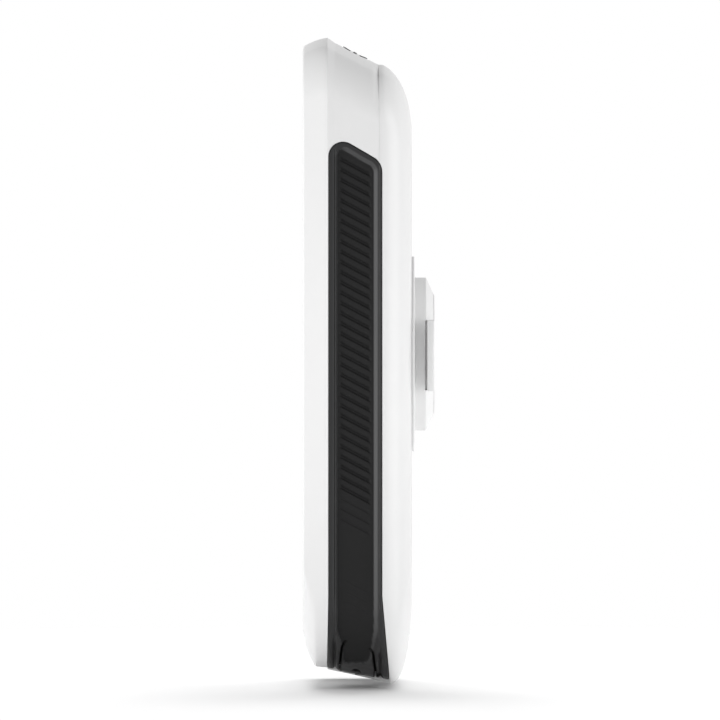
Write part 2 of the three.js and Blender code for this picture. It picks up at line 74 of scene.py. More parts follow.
bl_info = {
    "name": "Cycling computer",
    "version": (1, 0, 0),
    "blender": (4, 5, 0),
    "location": "View3D > Sidebar > Computer",
    "description": "Builds a cycling computer round its packed frame",
    "category": "Object",
}

MM = 0.001


def node_box(name):
    """Lowest and highest corner of a frame node, in millimetres."""
    low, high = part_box(name)
    return np.array(low) / MM, np.array(high) / MM


def node_middle(name):
    """Middle of a frame node, in millimetres."""
    low, high = node_box(name)
    return (low + high) / 2


# ------------------------------------------------------------------ the skin of the case
FRONT_LOW, FRONT_HIGH = node_box("front_frame")
REAR_LOW, REAR_HIGH = node_box("rear_housing")
LENS_LOW, LENS_HIGH = node_box("cover_lens")
MOUNT_LOW, MOUNT_HIGH = node_box("mount_insert")

FRONT_Y = FRONT_LOW[1]
SPLIT_Y = FRONT_HIGH[1]
RIDGE_Y = FRONT_Y + 4.0
CREASE_Y = RIDGE_Y + 1.15
RIM_Y = REAR_LOW[1]
BACK_Y = REAR_HIGH[1]
HALF_WIDTH = FRONT_HIGH[0]
FRONT_HALF_WIDTH = HALF_WIDTH - 1.4
CREASE_HALF_WIDTH = HALF_WIDTH - 0.1
REAR_HALF_WIDTH = HALF_WIDTH - 0.2
TOP = FRONT_HIGH[2]
FRONT_TOP = TOP - 1.4
CREASE_TOP = TOP - 0.8
REAR_TOP = TOP - 4.0
TOP_SLOPE = math.radians(26.7)
CHIN_TOP = -44.0
CHIN_RADIUS = 12.4
CHIN_BOTTOM = -50.75
RIDGE_BOTTOM = -50.95
SIDE_BOTTOM = -51.2
BOTTOM = REAR_LOW[2]
BOTTOM_Y = -7.2
CORNER_TOP = 8.0
CORNER_BOTTOM = 12.0
CROWN_TOP = 160.0
CROWN_BOTTOM = 200.0
FLARE_POWER = 1.6
LIFT_POWER = 2.4
ROLL_DEPTH = 6.29
ROLL_CENTRE_Y = BACK_Y - ROLL_DEPTH
ROLL_TOP = 11.1
ROLL_SIDE = 8.8
ROLL_BOTTOM = 14.5


def skin_at(y):
    """Half width, top and bottom of the skin at depths y."""
    y = np.asarray(y, float)
    t = np.clip((y - FRONT_Y) / (RIDGE_Y - FRONT_Y), 0, 1)
    flare = 1 - (1 - t) ** FLARE_POWER
    d = np.clip(y - FRONT_Y, 0, CHIN_RADIUS)
    chin_depth = CHIN_RADIUS - math.sqrt(CHIN_RADIUS**2 - (CHIN_TOP - CHIN_BOTTOM) ** 2)
    arc = CHIN_TOP - np.sqrt(2 * CHIN_RADIUS * d - d * d)
    past = (d - chin_depth) / (RIDGE_Y - FRONT_Y - chin_depth)
    chin = np.where(d < chin_depth, arc, CHIN_BOTTOM + (RIDGE_BOTTOM - CHIN_BOTTOM) * past)
    under = SIDE_BOTTOM + (BOTTOM - SIDE_BOTTOM) * (y - RIDGE_Y) / (BOTTOM_Y - RIDGE_Y)
    step = np.clip((y - RIDGE_Y) / (CREASE_Y - RIDGE_Y), 0, 1)
    run = np.clip((y - CREASE_Y) / (RIM_Y - CREASE_Y), 0, 1)
    u = np.clip((y - ROLL_CENTRE_Y) / ROLL_DEPTH, 0, 1)
    roll = 1 - np.sqrt(1 - u * u)
    low = np.clip((y - BOTTOM_Y) / (BACK_Y - BOTTOM_Y), 0, 1)
    lift = 1 - np.sqrt(1 - low**LIFT_POWER)
    in_front, in_bevel, in_middle = y <= RIDGE_Y, y <= CREASE_Y, y < RIM_Y
    half = np.select(
        [in_front, in_bevel, in_middle],
        [
            FRONT_HALF_WIDTH + (HALF_WIDTH - FRONT_HALF_WIDTH) * t,
            HALF_WIDTH + (CREASE_HALF_WIDTH - HALF_WIDTH) * step,
            CREASE_HALF_WIDTH + (REAR_HALF_WIDTH - CREASE_HALF_WIDTH) * run,
        ],
        REAR_HALF_WIDTH - ROLL_SIDE * roll,
    )
    top = np.select(
        [in_front, in_bevel, in_middle],
        [
            FRONT_TOP + (TOP - FRONT_TOP) * flare,
            TOP + (CREASE_TOP - TOP) * step,
            CREASE_TOP - (y - CREASE_Y) * math.tan(TOP_SLOPE),
        ],
        REAR_TOP - ROLL_TOP * roll,
    )
    bottom = np.where(in_front, chin, np.where(y < BOTTOM_Y, under, BOTTOM + ROLL_BOTTOM * lift))
    return half, top, bottom


def corner_of(half, edge, sign, corner, crown):
    """Centre of a corner arc that meets the straight side and the long arc of the edge."""
    centre_x = half - corner
    crown_z = edge - sign * crown
    centre_z = crown_z + sign * np.sqrt((crown - corner) ** 2 - centre_x**2)
    return centre_x, centre_z, crown_z, np.arctan2(np.abs(centre_z - crown_z), centre_x)


def ring_at(y, inset, shape_y, fine):
    """A closed ring at depth y, moved inwards by inset: right side, top, left, bottom. Its shape is
    the skin's at depth shape_y, and it has fine times the fewest points."""
    half, top, bottom = (float(v) for v in skin_at(shape_y))
    half -= inset
    points = []

    def arc(cx, cz, radius, start, end, steps, ends=True):
        for i in range(0 if ends else 1, steps + 1 if ends else steps):
            a = start + (end - start) * i / steps
            points.append((cx + radius * math.cos(a), y, cz + radius * math.sin(a)))

    top_corner, low_corner = CORNER_TOP - inset, CORNER_BOTTOM - inset
    top_crown, low_crown = CROWN_TOP - inset, CROWN_BOTTOM - inset
    ux, uz, uc, ua = corner_of(half, top - inset, 1, top_corner, top_crown)
    lx, lz, lc, la = corner_of(half, bottom + inset, -1, low_corner, low_crown)
    pi = math.pi
    top_steps, low_steps, crown_steps, sides = 14 * fine, 18 * fine, 16 * fine, 8 * fine
    arc(ux, uz, top_corner, 0, ua, top_steps)
    arc(0, uc, top_crown, ua, pi - ua, crown_steps, ends=False)
    arc(-ux, uz, top_corner, pi - ua, pi, top_steps)
    for i in range(1, sides):
        points.append((-half, y, uz + (lz - uz) * i / sides))
    arc(-lx, lz, low_corner, pi, pi + la, low_steps)
    arc(0, lc, low_crown, pi + la, 2 * pi - la, crown_steps, ends=False)
    arc(lx, lz, low_corner, 2 * pi - la, 2 * pi, low_steps)
    for i in range(1, sides):
        points.append((half, y, lz + (uz - lz) * i / sides))
    return np.array(points)


def skin_point(y, s, inset):
    """Points on the right-hand skin. s is the height on the straight side, and runs on as a length
    round the bottom corner and along the bottom edge."""
    half, _, bottom = skin_at(y)
    half = half - inset
    corner, crown = CORNER_BOTTOM - inset, CROWN_BOTTOM - inset
    cx, cz, crown_z, limit = corner_of(half, bottom + inset, -1, corner, crown)
    turn = np.clip((cz - s) / CORNER_BOTTOM, 0, limit)
    past = np.clip((cz - s) - limit * CORNER_BOTTOM, 0, None)
    x = cx + corner * np.cos(turn)
    z = np.where(s < cz, cz - corner * np.sin(turn), s)
    angle = limit + past / CROWN_BOTTOM
    x = np.where(past > 0, crown * np.cos(angle), x)
    z = np.where(past > 0, crown_z - crown * np.sin(angle), z)
    return np.stack([x, y, z], -1)


def s_of(y, z):
    """The running length s of a point seen at depth y and height z on the right-hand side."""
    half, _, bottom = skin_at(y)
    _, cz, _, _ = corner_of(half, bottom, -1, CORNER_BOTTOM, CROWN_BOTTOM)
    drop = np.clip((cz - z) / CORNER_BOTTOM, 0, 0.999)
    return np.where(z > cz, z, cz - CORNER_BOTTOM * np.arcsin(drop))


# ------------------------------------------------------------------ mesh building
def new_object(name, vertices, faces):
    """A mesh object from points in millimetres."""
    mesh = bpy.data.meshes.new(name)
    mesh.from_pydata([tuple(v) for v in np.asarray(vertices) * MM], [], faces)
    mesh.validate()
    piece = bpy.data.objects.new(name, mesh)
    bpy.context.scene.collection.objects.link(piece)
    return piece


def lofted(name, rings):
    """A closed solid through rings of equal point count. Rings run anticlockwise seen from outside
    the first one."""
    rings = [np.asarray(r, float) for r in rings]
    count = len(rings[0])
    faces = [list(range(count))]
    for r in range(len(rings) - 1):
        a = r * count
        for i in range(count):
            j = (i + 1) % count
            faces.append([a + i, a + count + i, a + count + j, a + j])
    last = (len(rings) - 1) * count
    faces.append([last + i for i in reversed(range(count))])
    return new_object(name, np.concatenate(rings), faces)


def carve(piece, cutter, operation="DIFFERENCE", keep=False):
    """Boolean of two closed solids, applied at once."""
    modifier = piece.modifiers.new("carve", "BOOLEAN")
    modifier.operation = operation
    modifier.solver = "MANIFOLD"
    modifier.object = cutter
    depsgraph = bpy.context.evaluated_depsgraph_get()
    mesh = bpy.data.meshes.new_from_object(piece.evaluated_get(depsgraph))
    if not mesh.polygons:
        raise RuntimeError(f"{piece.name}: nothing is left after {operation} with {cutter.name}")
    piece.modifiers.remove(modifier)
    old = piece.data
    piece.data = mesh
    mesh.name = piece.name
    bpy.data.meshes.remove(old)
    if not keep:
        bpy.data.objects.remove(cutter)
    return piece


def smooth(piece, degrees=28):
    """Smooth shading with sharp edges above an angle."""
    mesh = piece.data
    mesh.polygons.foreach_set("use_smooth", [True] * len(mesh.polygons))
    mesh.set_sharp_from_angle(angle=math.radians(degrees))
    return piece


def dress(piece, body, slot, node=None, finish=None):
    """Gives a finished piece the material of its slot and its body, and hides the frame node that it stands
    for.
    finish names the material where it isn't the slot's own. A piece given no body is left unattached."""
    piece.data.materials.clear()
    piece.data.materials.append(material_for(finish or slot))
    if body:
        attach(piece, body)
    if node:
        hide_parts(node)
    return piece


def rounded_end(y, radius, side, steps=4):
    """(y, inset) pairs of an end rounded to radius, from the end inwards. side is 1 in front, -1 behind."""
    if radius <= 0:
        return [(y, 0.0)]
    turns = [math.pi / 2 * i / steps for i in range(steps + 1)]
    return [(y + side * radius * (1 - math.cos(a)), radius * (1 - math.sin(a))) for a in turns]


def skin_solid(name, y0, y1, inset=0.0, ahead=0.0, front=0.0, fine=1):
    """The skin between two depths as a closed solid, moved inwards by inset. Each ring has the shape
    that the skin has a little further back, by ahead. front rounds the front edge."""
    ring_spacing, kink_width = 0.35, 0.004
    depths = set(np.linspace(y0, y1, 3 + int(abs(y1 - y0) / ring_spacing)))
    kinks = [kink for kink in (RIDGE_Y, CREASE_Y, RIM_Y) if y0 < kink < y1]
    depths |= {kink + d for kink in kinks for d in (-kink_width, kink_width)}
    rings = [(y, 0.0) for y in depths]
    if front > 0:
        rings = [(y, e) for y, e in rings if abs(y - y0) > front] + rounded_end(y0, front, 1)
    limit = BACK_Y - 0.02
    solid = [ring_at(y, inset + e, min(y + ahead, limit), fine) for y, e in sorted(rings)]
    return lofted(name, solid)


def rounded_rectangle(width, height, radius, steps=8):
    """A ring [u, v], anticlockwise."""
    a, b = width / 2 - radius, height / 2 - radius
    ring = []
    for k, (cx, cy) in enumerate([(a, b), (-a, b), (-a, -b), (a, -b)]):
        for i in range(steps + 1):
            t = math.pi / 2 * (k + i / steps)
            ring.append((cx + radius * math.cos(t), cy + radius * math.sin(t)))
    return np.array(ring)


def anticlockwise(outline):
    """A closed outline [u, v], turned round if it runs clockwise."""
    u, v = np.asarray(outline, float).T
    area = np.sum(u * np.roll(v, -1) - np.roll(u, -1) * v)
    ring = np.column_stack([u, v])
    return ring if area > 0 else ring[::-1]


def at_x(outline, x):
    """An outline drawn in Y and Z as a ring at x."""
    return np.column_stack([np.full(len(outline), x), outline])


def at_y(outline, y, x=0.0, z=0.0):
    """An outline drawn in X and Z as a ring at y, moved by x and z."""
    return np.column_stack([outline[:, 0] + x, np.full(len(outline), y), outline[:, 1] + z])


def at_z(outline, z, x=0.0, y=0.0):
    """An outline drawn in X and Y as a ring at z, moved by x and y."""
    return np.column_stack([outline[:, 0] + x, outline[:, 1] + y, np.full(len(outline), z)])


def prism_x(name, outline, x0, x1):
    """A solid along X over an outline drawn in Y and Z."""
    outline = anticlockwise(outline)
    return lofted(name, [at_x(outline, x) for x in (x1, x0)])


def turned(name, profile, centre=(0, 0), steps=64):
    """A solid of revolution about a line along Y through centre. profile is [radius, y]."""
    a = np.linspace(0, 2 * math.pi, steps, endpoint=False)
    circle = np.column_stack([np.cos(a), np.sin(a)])
    return lofted(name, [at_y(radius * circle, y, *centre) for radius, y in profile])


# ------------------------------------------------------------------ outlines of the rubber parts
POWER_Y = -12.85
POWER_WIDTH = 12.0
POWER_DEPTH = 4.6
POWER_PROUD = 0.04
POWER_SUNK = 0.2
POWER_CROWN = 2.6
POWER_CORNER = 1.5
KEY_FLANGE = 0.8
KEY_GAP = 0.1
DISH_DEPTH = 0.10


def key_place(name):
    """Centre x and z, width and height of a front key's cap, without its flange."""
    low, high = node_box(name)
    size = high - low - 2 * KEY_FLANGE
    return (low[0] + high[0]) / 2, (low[2] + high[2]) / 2, size[0], size[2]


def screw_places(stem):
    """Centres in X and Z of the nodes stem_1 to stem_4."""
    return [tuple(node_middle(f"{stem}_{i}")[[0, 2]]) for i in range(1, 5)]


GRIP_FRONT_Y = -17.1
GRIP_REAR_Y = -8.5
GRIP_TOP = 36.4
TOP_SLANT = math.tan(math.radians(30))
GRIP_CORNER_FRONT = 2.3
GRIP_CORNER_REAR = 2.8
FLARE_Z = -38.5
FLARE_FRONT_Y = -17.45
FLARE_REAR_Y = -7.35
FLARE_END_Z = -51.5
BELOW = -56.0
UNDERSIDE_S = -78.0
GRIP_INNER_X = 13.0
RUBBER = 1.15
BED_GAP = 0.06
FLAP_FREE_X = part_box("weather_cap")[0].x / MM
SLIT = 0.32
SLIT_FRONT = [(-14.4, -45.8), (-14.75, -46.2), (-15.0, -46.95), (-15.1, -47.95), (-15.33, -49.85)]
SLIT_REAR = [(-10.35, -47.1), (-10.02, -47.6), (-9.87, -48.2), (-9.75, -49.25), (-9.56, -50.75)]
HINGE_REACH = 1.1
LINE_Y = GRIP_FRONT_Y + 0.98
GROOVE_SLANT = 0.53
GROOVE_FRONT_Y = -15.5
GROOVE_REAR_Y = -10.25
FIRST_GROOVE_Z = 32.1
# Share of the full depth that the grooves after the last full one have.
SHALLOW_GROOVES = (0.30, 0.42, 0.38)
# Places of the faint raised lines, counted from the last full groove.
FAINT_LINES = (9, 10, 11, 12)
# The fingernail notch under the flap's tip and the corner behind it: middle y, top z, low z, half width.
TIP_HOLLOWS = ((-12.63, -50.5, -51.0, 0.72), (-9.05, -51.1, -51.9, 0.7))
# Soft hollows outside the slits: centre line in y and s, where each begins, depth and half width.
SIDE_HOLLOWS = (
    ([(-16.2, -43.0), (-16.12, -51.0), (-16.0, UNDERSIDE_S)], (44.4, 47.4), 0.4, 0.42),
    ([(-9.05, -44.5), (-8.85, -49.5), (-8.6, UNDERSIDE_S)], (46.6, 49.4), 0.35, 0.36),
)
# Columns of the rubber's mesh: distances from its front and rear edges, and how many lie between.
EDGE_PAD = 0.35
NEAR_FRONT = (-EDGE_PAD, 0.0, 0.06, 0.13, 0.24, 0.5, 0.76, 0.83,
              0.98, 1.13, 1.2, 1.28, 1.36, 1.44, 1.56, 1.78)
NEAR_REAR = (1.95, 1.75, 1.55, 1.42, 1.30, 1.12, 0.94, 0.78,
             0.66, 0.5, 0.38, 0.24, 0.13, 0.06, 0.0, -EDGE_PAD)
MIDDLE_COLUMNS = 26
# Beyond the widest point of the case, so a cutter that starts there cuts from outside.
OUTSIDE_X = 31.0


def rounded_outline(corners, steps=10):
    """A polyline through corners [u, v, radius] with each corner as a true arc."""
    points = [np.array(c[:2], float) for c in corners]
    ring = []
    for i, corner in enumerate(corners):
        radius = corner[2] if len(corner) > 2 else 0.0
        here = points[i]
        if radius <= 0:
            ring.append(here)
            continue
        back = points[i - 1] - here
        ahead = points[(i + 1) % len(points)] - here
        back /= np.linalg.norm(back)
        ahead /= np.linalg.norm(ahead)
        half = math.acos(np.clip(np.dot(back, ahead), -1, 1)) / 2
        centre = here + (back + ahead) / np.linalg.norm(back + ahead) * radius / math.sin(half)
        start, end = (here + d * radius / math.tan(half) - centre for d in (back, ahead))
        a0 = math.atan2(start[1], start[0])
        sweep = (math.atan2(end[1], end[0]) - a0 + math.pi) % (2 * math.pi) - math.pi
        for k in range(steps + 1):
            a = a0 + sweep * k / steps
            ring.append(centre + radius * np.array([math.cos(a), math.sin(a)]))
    return np.array(ring)


def grip_outline(grow=0.0):
    """The grip seen from the side, in Y and Z."""
    front, rear = GRIP_FRONT_Y - grow, GRIP_REAR_Y + grow
    rise = grow / math.cos(math.atan(TOP_SLANT))

    def height(y):
        return GRIP_TOP + rise - TOP_SLANT * (y - GRIP_FRONT_Y)

    return rounded_outline([
        (front, height(front), GRIP_CORNER_FRONT + grow),
        (front, FLARE_Z),
        (FLARE_FRONT_Y - grow, BELOW),
        (FLARE_REAR_Y + grow, BELOW),
        (FLARE_REAR_Y + grow, FLARE_END_Z),
        (rear, FLARE_Z),
        (rear, height(rear), GRIP_CORNER_REAR + grow),
    ])


def panel_outline():
    """The edge of the sunken panel inside the grip's rim, in Y and Z."""
    front, rear = GRIP_FRONT_Y + 1.2, GRIP_REAR_Y - 0.66

    def height(y):
        return GRIP_TOP - 0.86 - TOP_SLANT * (y - GRIP_FRONT_Y)

    return rounded_outline([
        (front, height(front), 1.3),
        (front, -44.2, 2.0),
        (-15.05, -46.8, 1.5),
        (-15.1, -49.7, 1.2),
        (-10.1, -49.7, 1.6),
        (-9.95, -47.2, 2.0),
        (rear, -44.2, 2.0),
        (rear, height(rear), 2.1),
    ], steps=8)


def offset_line(line, distance):
    """An open polyline moved sideways along Y, by nothing at its first point."""
    line = np.asarray(line, float)
    shift = distance * np.clip(np.arange(len(line)) / 1.5, 0, 1)
    return np.column_stack([line[:, 0] + shift, line[:, 1]])


def flap_outline(gap):
    """The weather cap seen from the side, in Y and Z, with gap on both sides of its slits."""
    front, rear = offset_line(SLIT_FRONT, gap), offset_line(SLIT_REAR, -gap)
    top = [front[0] + [0, HINGE_REACH], rear[0] + [0, HINGE_REACH]]
    low = [[rear[-1][0], BELOW], [front[-1][0], BELOW]]
    return np.array([top[1], *rear, *low, *front[::-1], top[0]])


def segment_distance(points, start, end):
    """Distance from points to the straight line between two corners."""
    edge = end - start
    t = np.clip(((points - start) @ edge) / (edge @ edge), 0, 1)
    return np.linalg.norm(points - start - t[..., None] * edge, axis=-1)


def inside(y, s, outline):
    """Distance inside a closed outline, negative outside, for points in the Y and s plane."""
    p = np.stack([y, s], -1)
    a = np.asarray(outline, float)
    tiny, far = 1e-12, 1e9
    best = np.full(p.shape[:-1], far)
    crossed = np.zeros(p.shape[:-1], bool)
    for p0, p1 in zip(a, np.roll(a, -1, axis=0)):
        edge = p1 - p0
        if edge @ edge < tiny:
            continue
        best = np.minimum(best, segment_distance(p, p0, p1))
        spans = (p0[1] > p[..., 1]) != (p1[1] > p[..., 1])
        at = p0[0] + (p[..., 1] - p0[1]) * edge[0] / (edge[1] if abs(edge[1]) > tiny else tiny)
        crossed ^= spans & (p[..., 0] < at)
    return np.where(crossed, best, -best)


def unrolled(outline):
    """An outline seen from the side, carried onto the running length of the skin."""
    outline = np.asarray(outline, float)
    dense = []
    for p0, p1 in zip(outline, np.roll(outline, -1, axis=0)):
        steps = max(1, int(np.linalg.norm(p1 - p0) / 1.5))
        dense += [p0 + (p1 - p0) * k / steps for k in range(steps)]
    dense = np.array(dense)
    s = s_of(dense[:, 0], dense[:, 1])
    return np.column_stack([dense[:, 0], np.where(dense[:, 1] < BELOW + 2.5, UNDERSIDE_S, s)])


def unrolled_slit(line):
    """A slit's centre line on the running length, carried on underneath the case."""
    line = np.asarray(line, float)
    s = s_of(line[:, 0], line[:, 1])
    return np.vstack([np.column_stack([line[:, 0], s]), [line[-1, 0], UNDERSIDE_S]])


def line_distance(y, s, line):
    """Distance from points in the Y and s plane to an open polyline."""
    p = np.stack([y, s], -1)
    return np.minimum.reduce([segment_distance(p, p0, p1) for p0, p1 in zip(line[:-1], line[1:])])


def ease_step(x, low, high):
    """0 below low, 1 above high, smooth between."""
    t = np.clip((x - low) / (high - low), 0, 1)
    return t * t * (3 - 2 * t)


def rounding(distance, radius):
    """How far a surface falls towards an edge rounded to radius."""
    d = np.clip(distance, 0, radius)
    return radius - np.sqrt(np.maximum(radius**2 - (radius - d) ** 2, 0))


# ------------------------------------------------------------------ settings
class CaseSettings(bpy.types.PropertyGroup):
    """The white shells."""

    color: bpy.props.FloatVectorProperty(
        name="Case colour", description="Colour of the moulded shells", subtype="COLOR",
        size=3, min=0, max=1, default=(0.79, 0.79, 0.79))
    roughness: bpy.props.FloatProperty(
        name="Roughness", description="Roughness of the shells", subtype="FACTOR",
        min=0, max=1, default=0.32)


class GripSettings(bpy.types.PropertyGroup):
    """The rubber side grips and the weather cap."""

    color: bpy.props.FloatVectorProperty(
        name="Rubber colour", description="Colour of the rubber", subtype="COLOR",
        size=3, min=0, max=1, default=(0.022, 0.022, 0.0225))
    # Paler colour of the slopes inside the rim: a painted highlight for the light they catch, on top of
    # their real gloss.
    slope_highlight_color: bpy.props.FloatVectorProperty(
        name="Slope colour", description="Colour of the polished slopes inside the rim", subtype="COLOR",
        size=3, min=0, max=1, default=(0.055, 0.055, 0.056))
    panel_color: bpy.props.FloatVectorProperty(
        name="Panel colour", description="Colour of the matt sunken panel", subtype="COLOR",
        size=3, min=0, max=1, default=(0.006, 0.006, 0.0062))
    pitch: bpy.props.FloatProperty(
        name="Groove pitch", description="Height from one groove to the next", subtype="DISTANCE",
        unit="LENGTH", default=0.00165)
    groove_width: bpy.props.FloatProperty(
        name="Groove width", description="Width of a groove", subtype="DISTANCE", unit="LENGTH",
        default=0.00062)
    groove_depth: bpy.props.FloatProperty(
        name="Groove depth", description="Depth of a groove", subtype="DISTANCE", unit="LENGTH",
        default=0.00034)
    panel_depth: bpy.props.FloatProperty(
        name="Panel depth", description="How far the panel lies below the rim", subtype="DISTANCE",
        unit="LENGTH", default=0.00045)
    grooves: bpy.props.IntProperty(
        name="Grooves", description="Number of full-depth grooves", min=1, max=60, default=33)


class MountSettings(bpy.types.PropertyGroup):
    """The quarter-turn mount."""

    color: bpy.props.FloatVectorProperty(
        name="Mount colour", description="Colour of the mount", subtype="COLOR",
        size=3, min=0, max=1, default=(0.82, 0.82, 0.82))
    edge: bpy.props.FloatProperty(
        name="Edge rounding", description="Radius of the moulded edges", subtype="DISTANCE",
        unit="LENGTH", default=0.00025)


class StageSettings(bpy.types.PropertyGroup):
    """The camera."""

    distance: bpy.props.FloatProperty(
        name="Camera distance", description="From the camera to the case", subtype="DISTANCE",
        unit="LENGTH", default=2.4)
    height: bpy.props.FloatProperty(
        name="Camera height", description="Height of the camera above the middle of the case",
        subtype="DISTANCE", unit="LENGTH", default=0.05)
    frame_width: bpy.props.FloatProperty(
        name="Framed width", description="Width of the view at the case", subtype="DISTANCE",
        unit="LENGTH", default=0.1173)


# ------------------------------------------------------------------ shader node groups
def new_group(name, inputs, outputs):
    """A shader node group with float inputs (name, default) and typed outputs (name, socket type)."""
    group = bpy.data.node_groups.new(name, "ShaderNodeTree")
    for socket, default in inputs:
        made = group.interface.new_socket(name=socket, in_out="INPUT", socket_type="NodeSocketFloat")
        made.default_value = default
    for socket, kind in outputs:
        group.interface.new_socket(name=socket, in_out="OUTPUT", socket_type=kind)
    return group, group.nodes.new("NodeGroupInput"), group.nodes.new("NodeGroupOutput")


def math_node(tree, operation, a, b=None, clamp=False):
    """A Math node fed by sockets or numbers. Returns its output socket."""
    node = tree.nodes.new("ShaderNodeMath")
    node.operation = operation
    node.use_clamp = clamp
    for socket, value in zip(node.inputs, (a, b)):
        if isinstance(value, bpy.types.NodeSocket):
            tree.links.new(value, socket)
        elif value is not None:
            socket.default_value = value
    return node.outputs[0]


def mixed_color(tree, factor, first, second):
    """A colour between first and second, each a socket or RGBA. Returns its output socket."""
    mix = tree.nodes.new("ShaderNodeMix")
    mix.data_type = "RGBA"
    tree.links.new(factor, mix.inputs["Factor"])
    for name, value in (("A", first), ("B", second)):
        if isinstance(value, bpy.types.NodeSocket):
            tree.links.new(value, mix.inputs[name])
        else:
            mix.inputs[name].default_value = value
    return mix.outputs["Result"]


def noise_node(tree, scale, detail=3.0, roughness=0.5):
    """Noise in the object's own axes. scale is a socket or a number."""
    place = tree.nodes.new("ShaderNodeTexCoord")
    noise = tree.nodes.new("ShaderNodeTexNoise")
    noise.inputs["Detail"].default_value = detail
    noise.inputs["Roughness"].default_value = roughness
    tree.links.new(place.outputs["Object"], noise.inputs["Vector"])
    if isinstance(scale, bpy.types.NodeSocket):
        tree.links.new(scale, noise.inputs["Scale"])
    else:
        noise.inputs["Scale"].default_value = scale
    return noise.outputs["Fac"]


def fine_grain_group():
    """Spark-eroded mould grain: a fine height and a slightly uneven roughness."""
    group, given, out = new_group(
        "fine grain", [("Scale", 6000.0), ("Roughness", 0.5), ("Spread", 0.08)],
        [("Height", "NodeSocketFloat"), ("Roughness", "NodeSocketFloat")])
    fine = noise_node(group, given.outputs["Scale"], 4.0, 0.6)
    broad = noise_node(group, math_node(group, "MULTIPLY", given.outputs["Scale"], 0.09), 2.0)
    mixed = math_node(group, "ADD", math_node(group, "MULTIPLY", fine, 0.8),
                      math_node(group, "MULTIPLY", broad, 0.2))
    group.links.new(mixed, out.inputs["Height"])
    swing = math_node(group, "MULTIPLY", math_node(group, "SUBTRACT", broad, 0.5), given.outputs["Spread"])
    rough = math_node(group, "ADD", given.outputs["Roughness"], swing, clamp=True)
    group.links.new(rough, out.inputs["Roughness"])
    return group


def edge_wear_group():
    """A mask that is 1 on rubbed outer edges and 0 on flats and in hollows."""
    group, given, out = new_group(
        "edge wear", [("Amount", 0.4), ("Scale", 900.0)], [("Mask", "NodeSocketFloat")])
    geometry = group.nodes.new("ShaderNodeNewGeometry")
    over_flat = math_node(group, "SUBTRACT", geometry.outputs["Pointiness"], 0.515)
    raised = math_node(group, "MULTIPLY", over_flat, 16.0, clamp=True)
    broken = math_node(group, "ADD", noise_node(group, given.outputs["Scale"], 4.0), 0.25)
    rubbed = math_node(group, "MULTIPLY", raised, broken)
    mask = math_node(group, "MULTIPLY", rubbed, given.outputs["Amount"], clamp=True)
    group.links.new(mask, out.inputs["Mask"])
    return group


def mould_tone_group():
    """A very slow change of shade over a moulded piece, as factor from 0 to 1."""
    group, given, out = new_group(
        "mould tone", [("Scale", 45.0), ("Contrast", 1.0)], [("Factor", "NodeSocketFloat")])
    slow = noise_node(group, given.outputs["Scale"], 2.0)
    swing = math_node(group, "MULTIPLY", math_node(group, "SUBTRACT", slow, 0.5), given.outputs["Contrast"])
    tone = math_node(group, "ADD", swing, 0.5, clamp=True)
    group.links.new(tone, out.inputs["Factor"])
    return group


GROUPS = {}
MATERIALS = {}


def build_groups():
    """Makes the shared effects once."""
    if not GROUPS:
        GROUPS.update(grain=fine_grain_group(), wear=edge_wear_group(), tone=mould_tone_group())


def place_group(tree, key, **values):
    """Puts a shared effect in a material with its own values."""
    node = tree.nodes.new("ShaderNodeGroup")
    node.node_tree = GROUPS[key]
    for socket, value in values.items():
        node.inputs[socket].default_value = value
    return node


def finish_material(name, color, roughness, grain=6000.0, bump=0.1, bump_height=0.00002, tone=0.06, wear=0.0,
                    wear_color=None, spread=0.1, metallic=0.0, specular=0.5, coat=0.0, ior=1.5):
    """A moulded or machined finish: base colour with a slow tone, rubbed edges, grain and uneven gloss."""
    build_groups()
    material = bpy.data.materials.new(name)
    material.use_nodes = True
    tree = material.node_tree
    shader = tree.nodes["Principled BSDF"]
    shader.inputs["Metallic"].default_value = metallic
    shader.inputs["Specular IOR Level"].default_value = specular
    shader.inputs["IOR"].default_value = ior
    shader.inputs["Coat Weight"].default_value = coat
    shader.inputs["Coat Roughness"].default_value = 0.08
    color = np.array(color, float)

    def rgba(factor):
        return (*np.clip(color * factor, 0, 1), 1.0)

    slow = place_group(tree, "tone", Contrast=1.6)
    tint = mixed_color(tree, slow.outputs["Factor"], rgba(1 - tone), rgba(1 + tone))
    if wear > 0:
        worn = place_group(tree, "wear", Amount=wear)
        tint = mixed_color(tree, worn.outputs["Mask"], tint, (*(wear_color or color * 1.5), 1.0))
    tree.links.new(tint, shader.inputs["Base Color"])
    grained = place_group(tree, "grain", Scale=grain, Roughness=roughness, Spread=spread)
    tree.links.new(grained.outputs["Roughness"], shader.inputs["Roughness"])
    relief = tree.nodes.new("ShaderNodeBump")
    relief.inputs["Strength"].default_value = bump
    relief.inputs["Distance"].default_value = bump_height
    tree.links.new(grained.outputs["Height"], relief.inputs["Height"])
    tree.links.new(relief.outputs["Normal"], shader.inputs["Normal"])
    return material


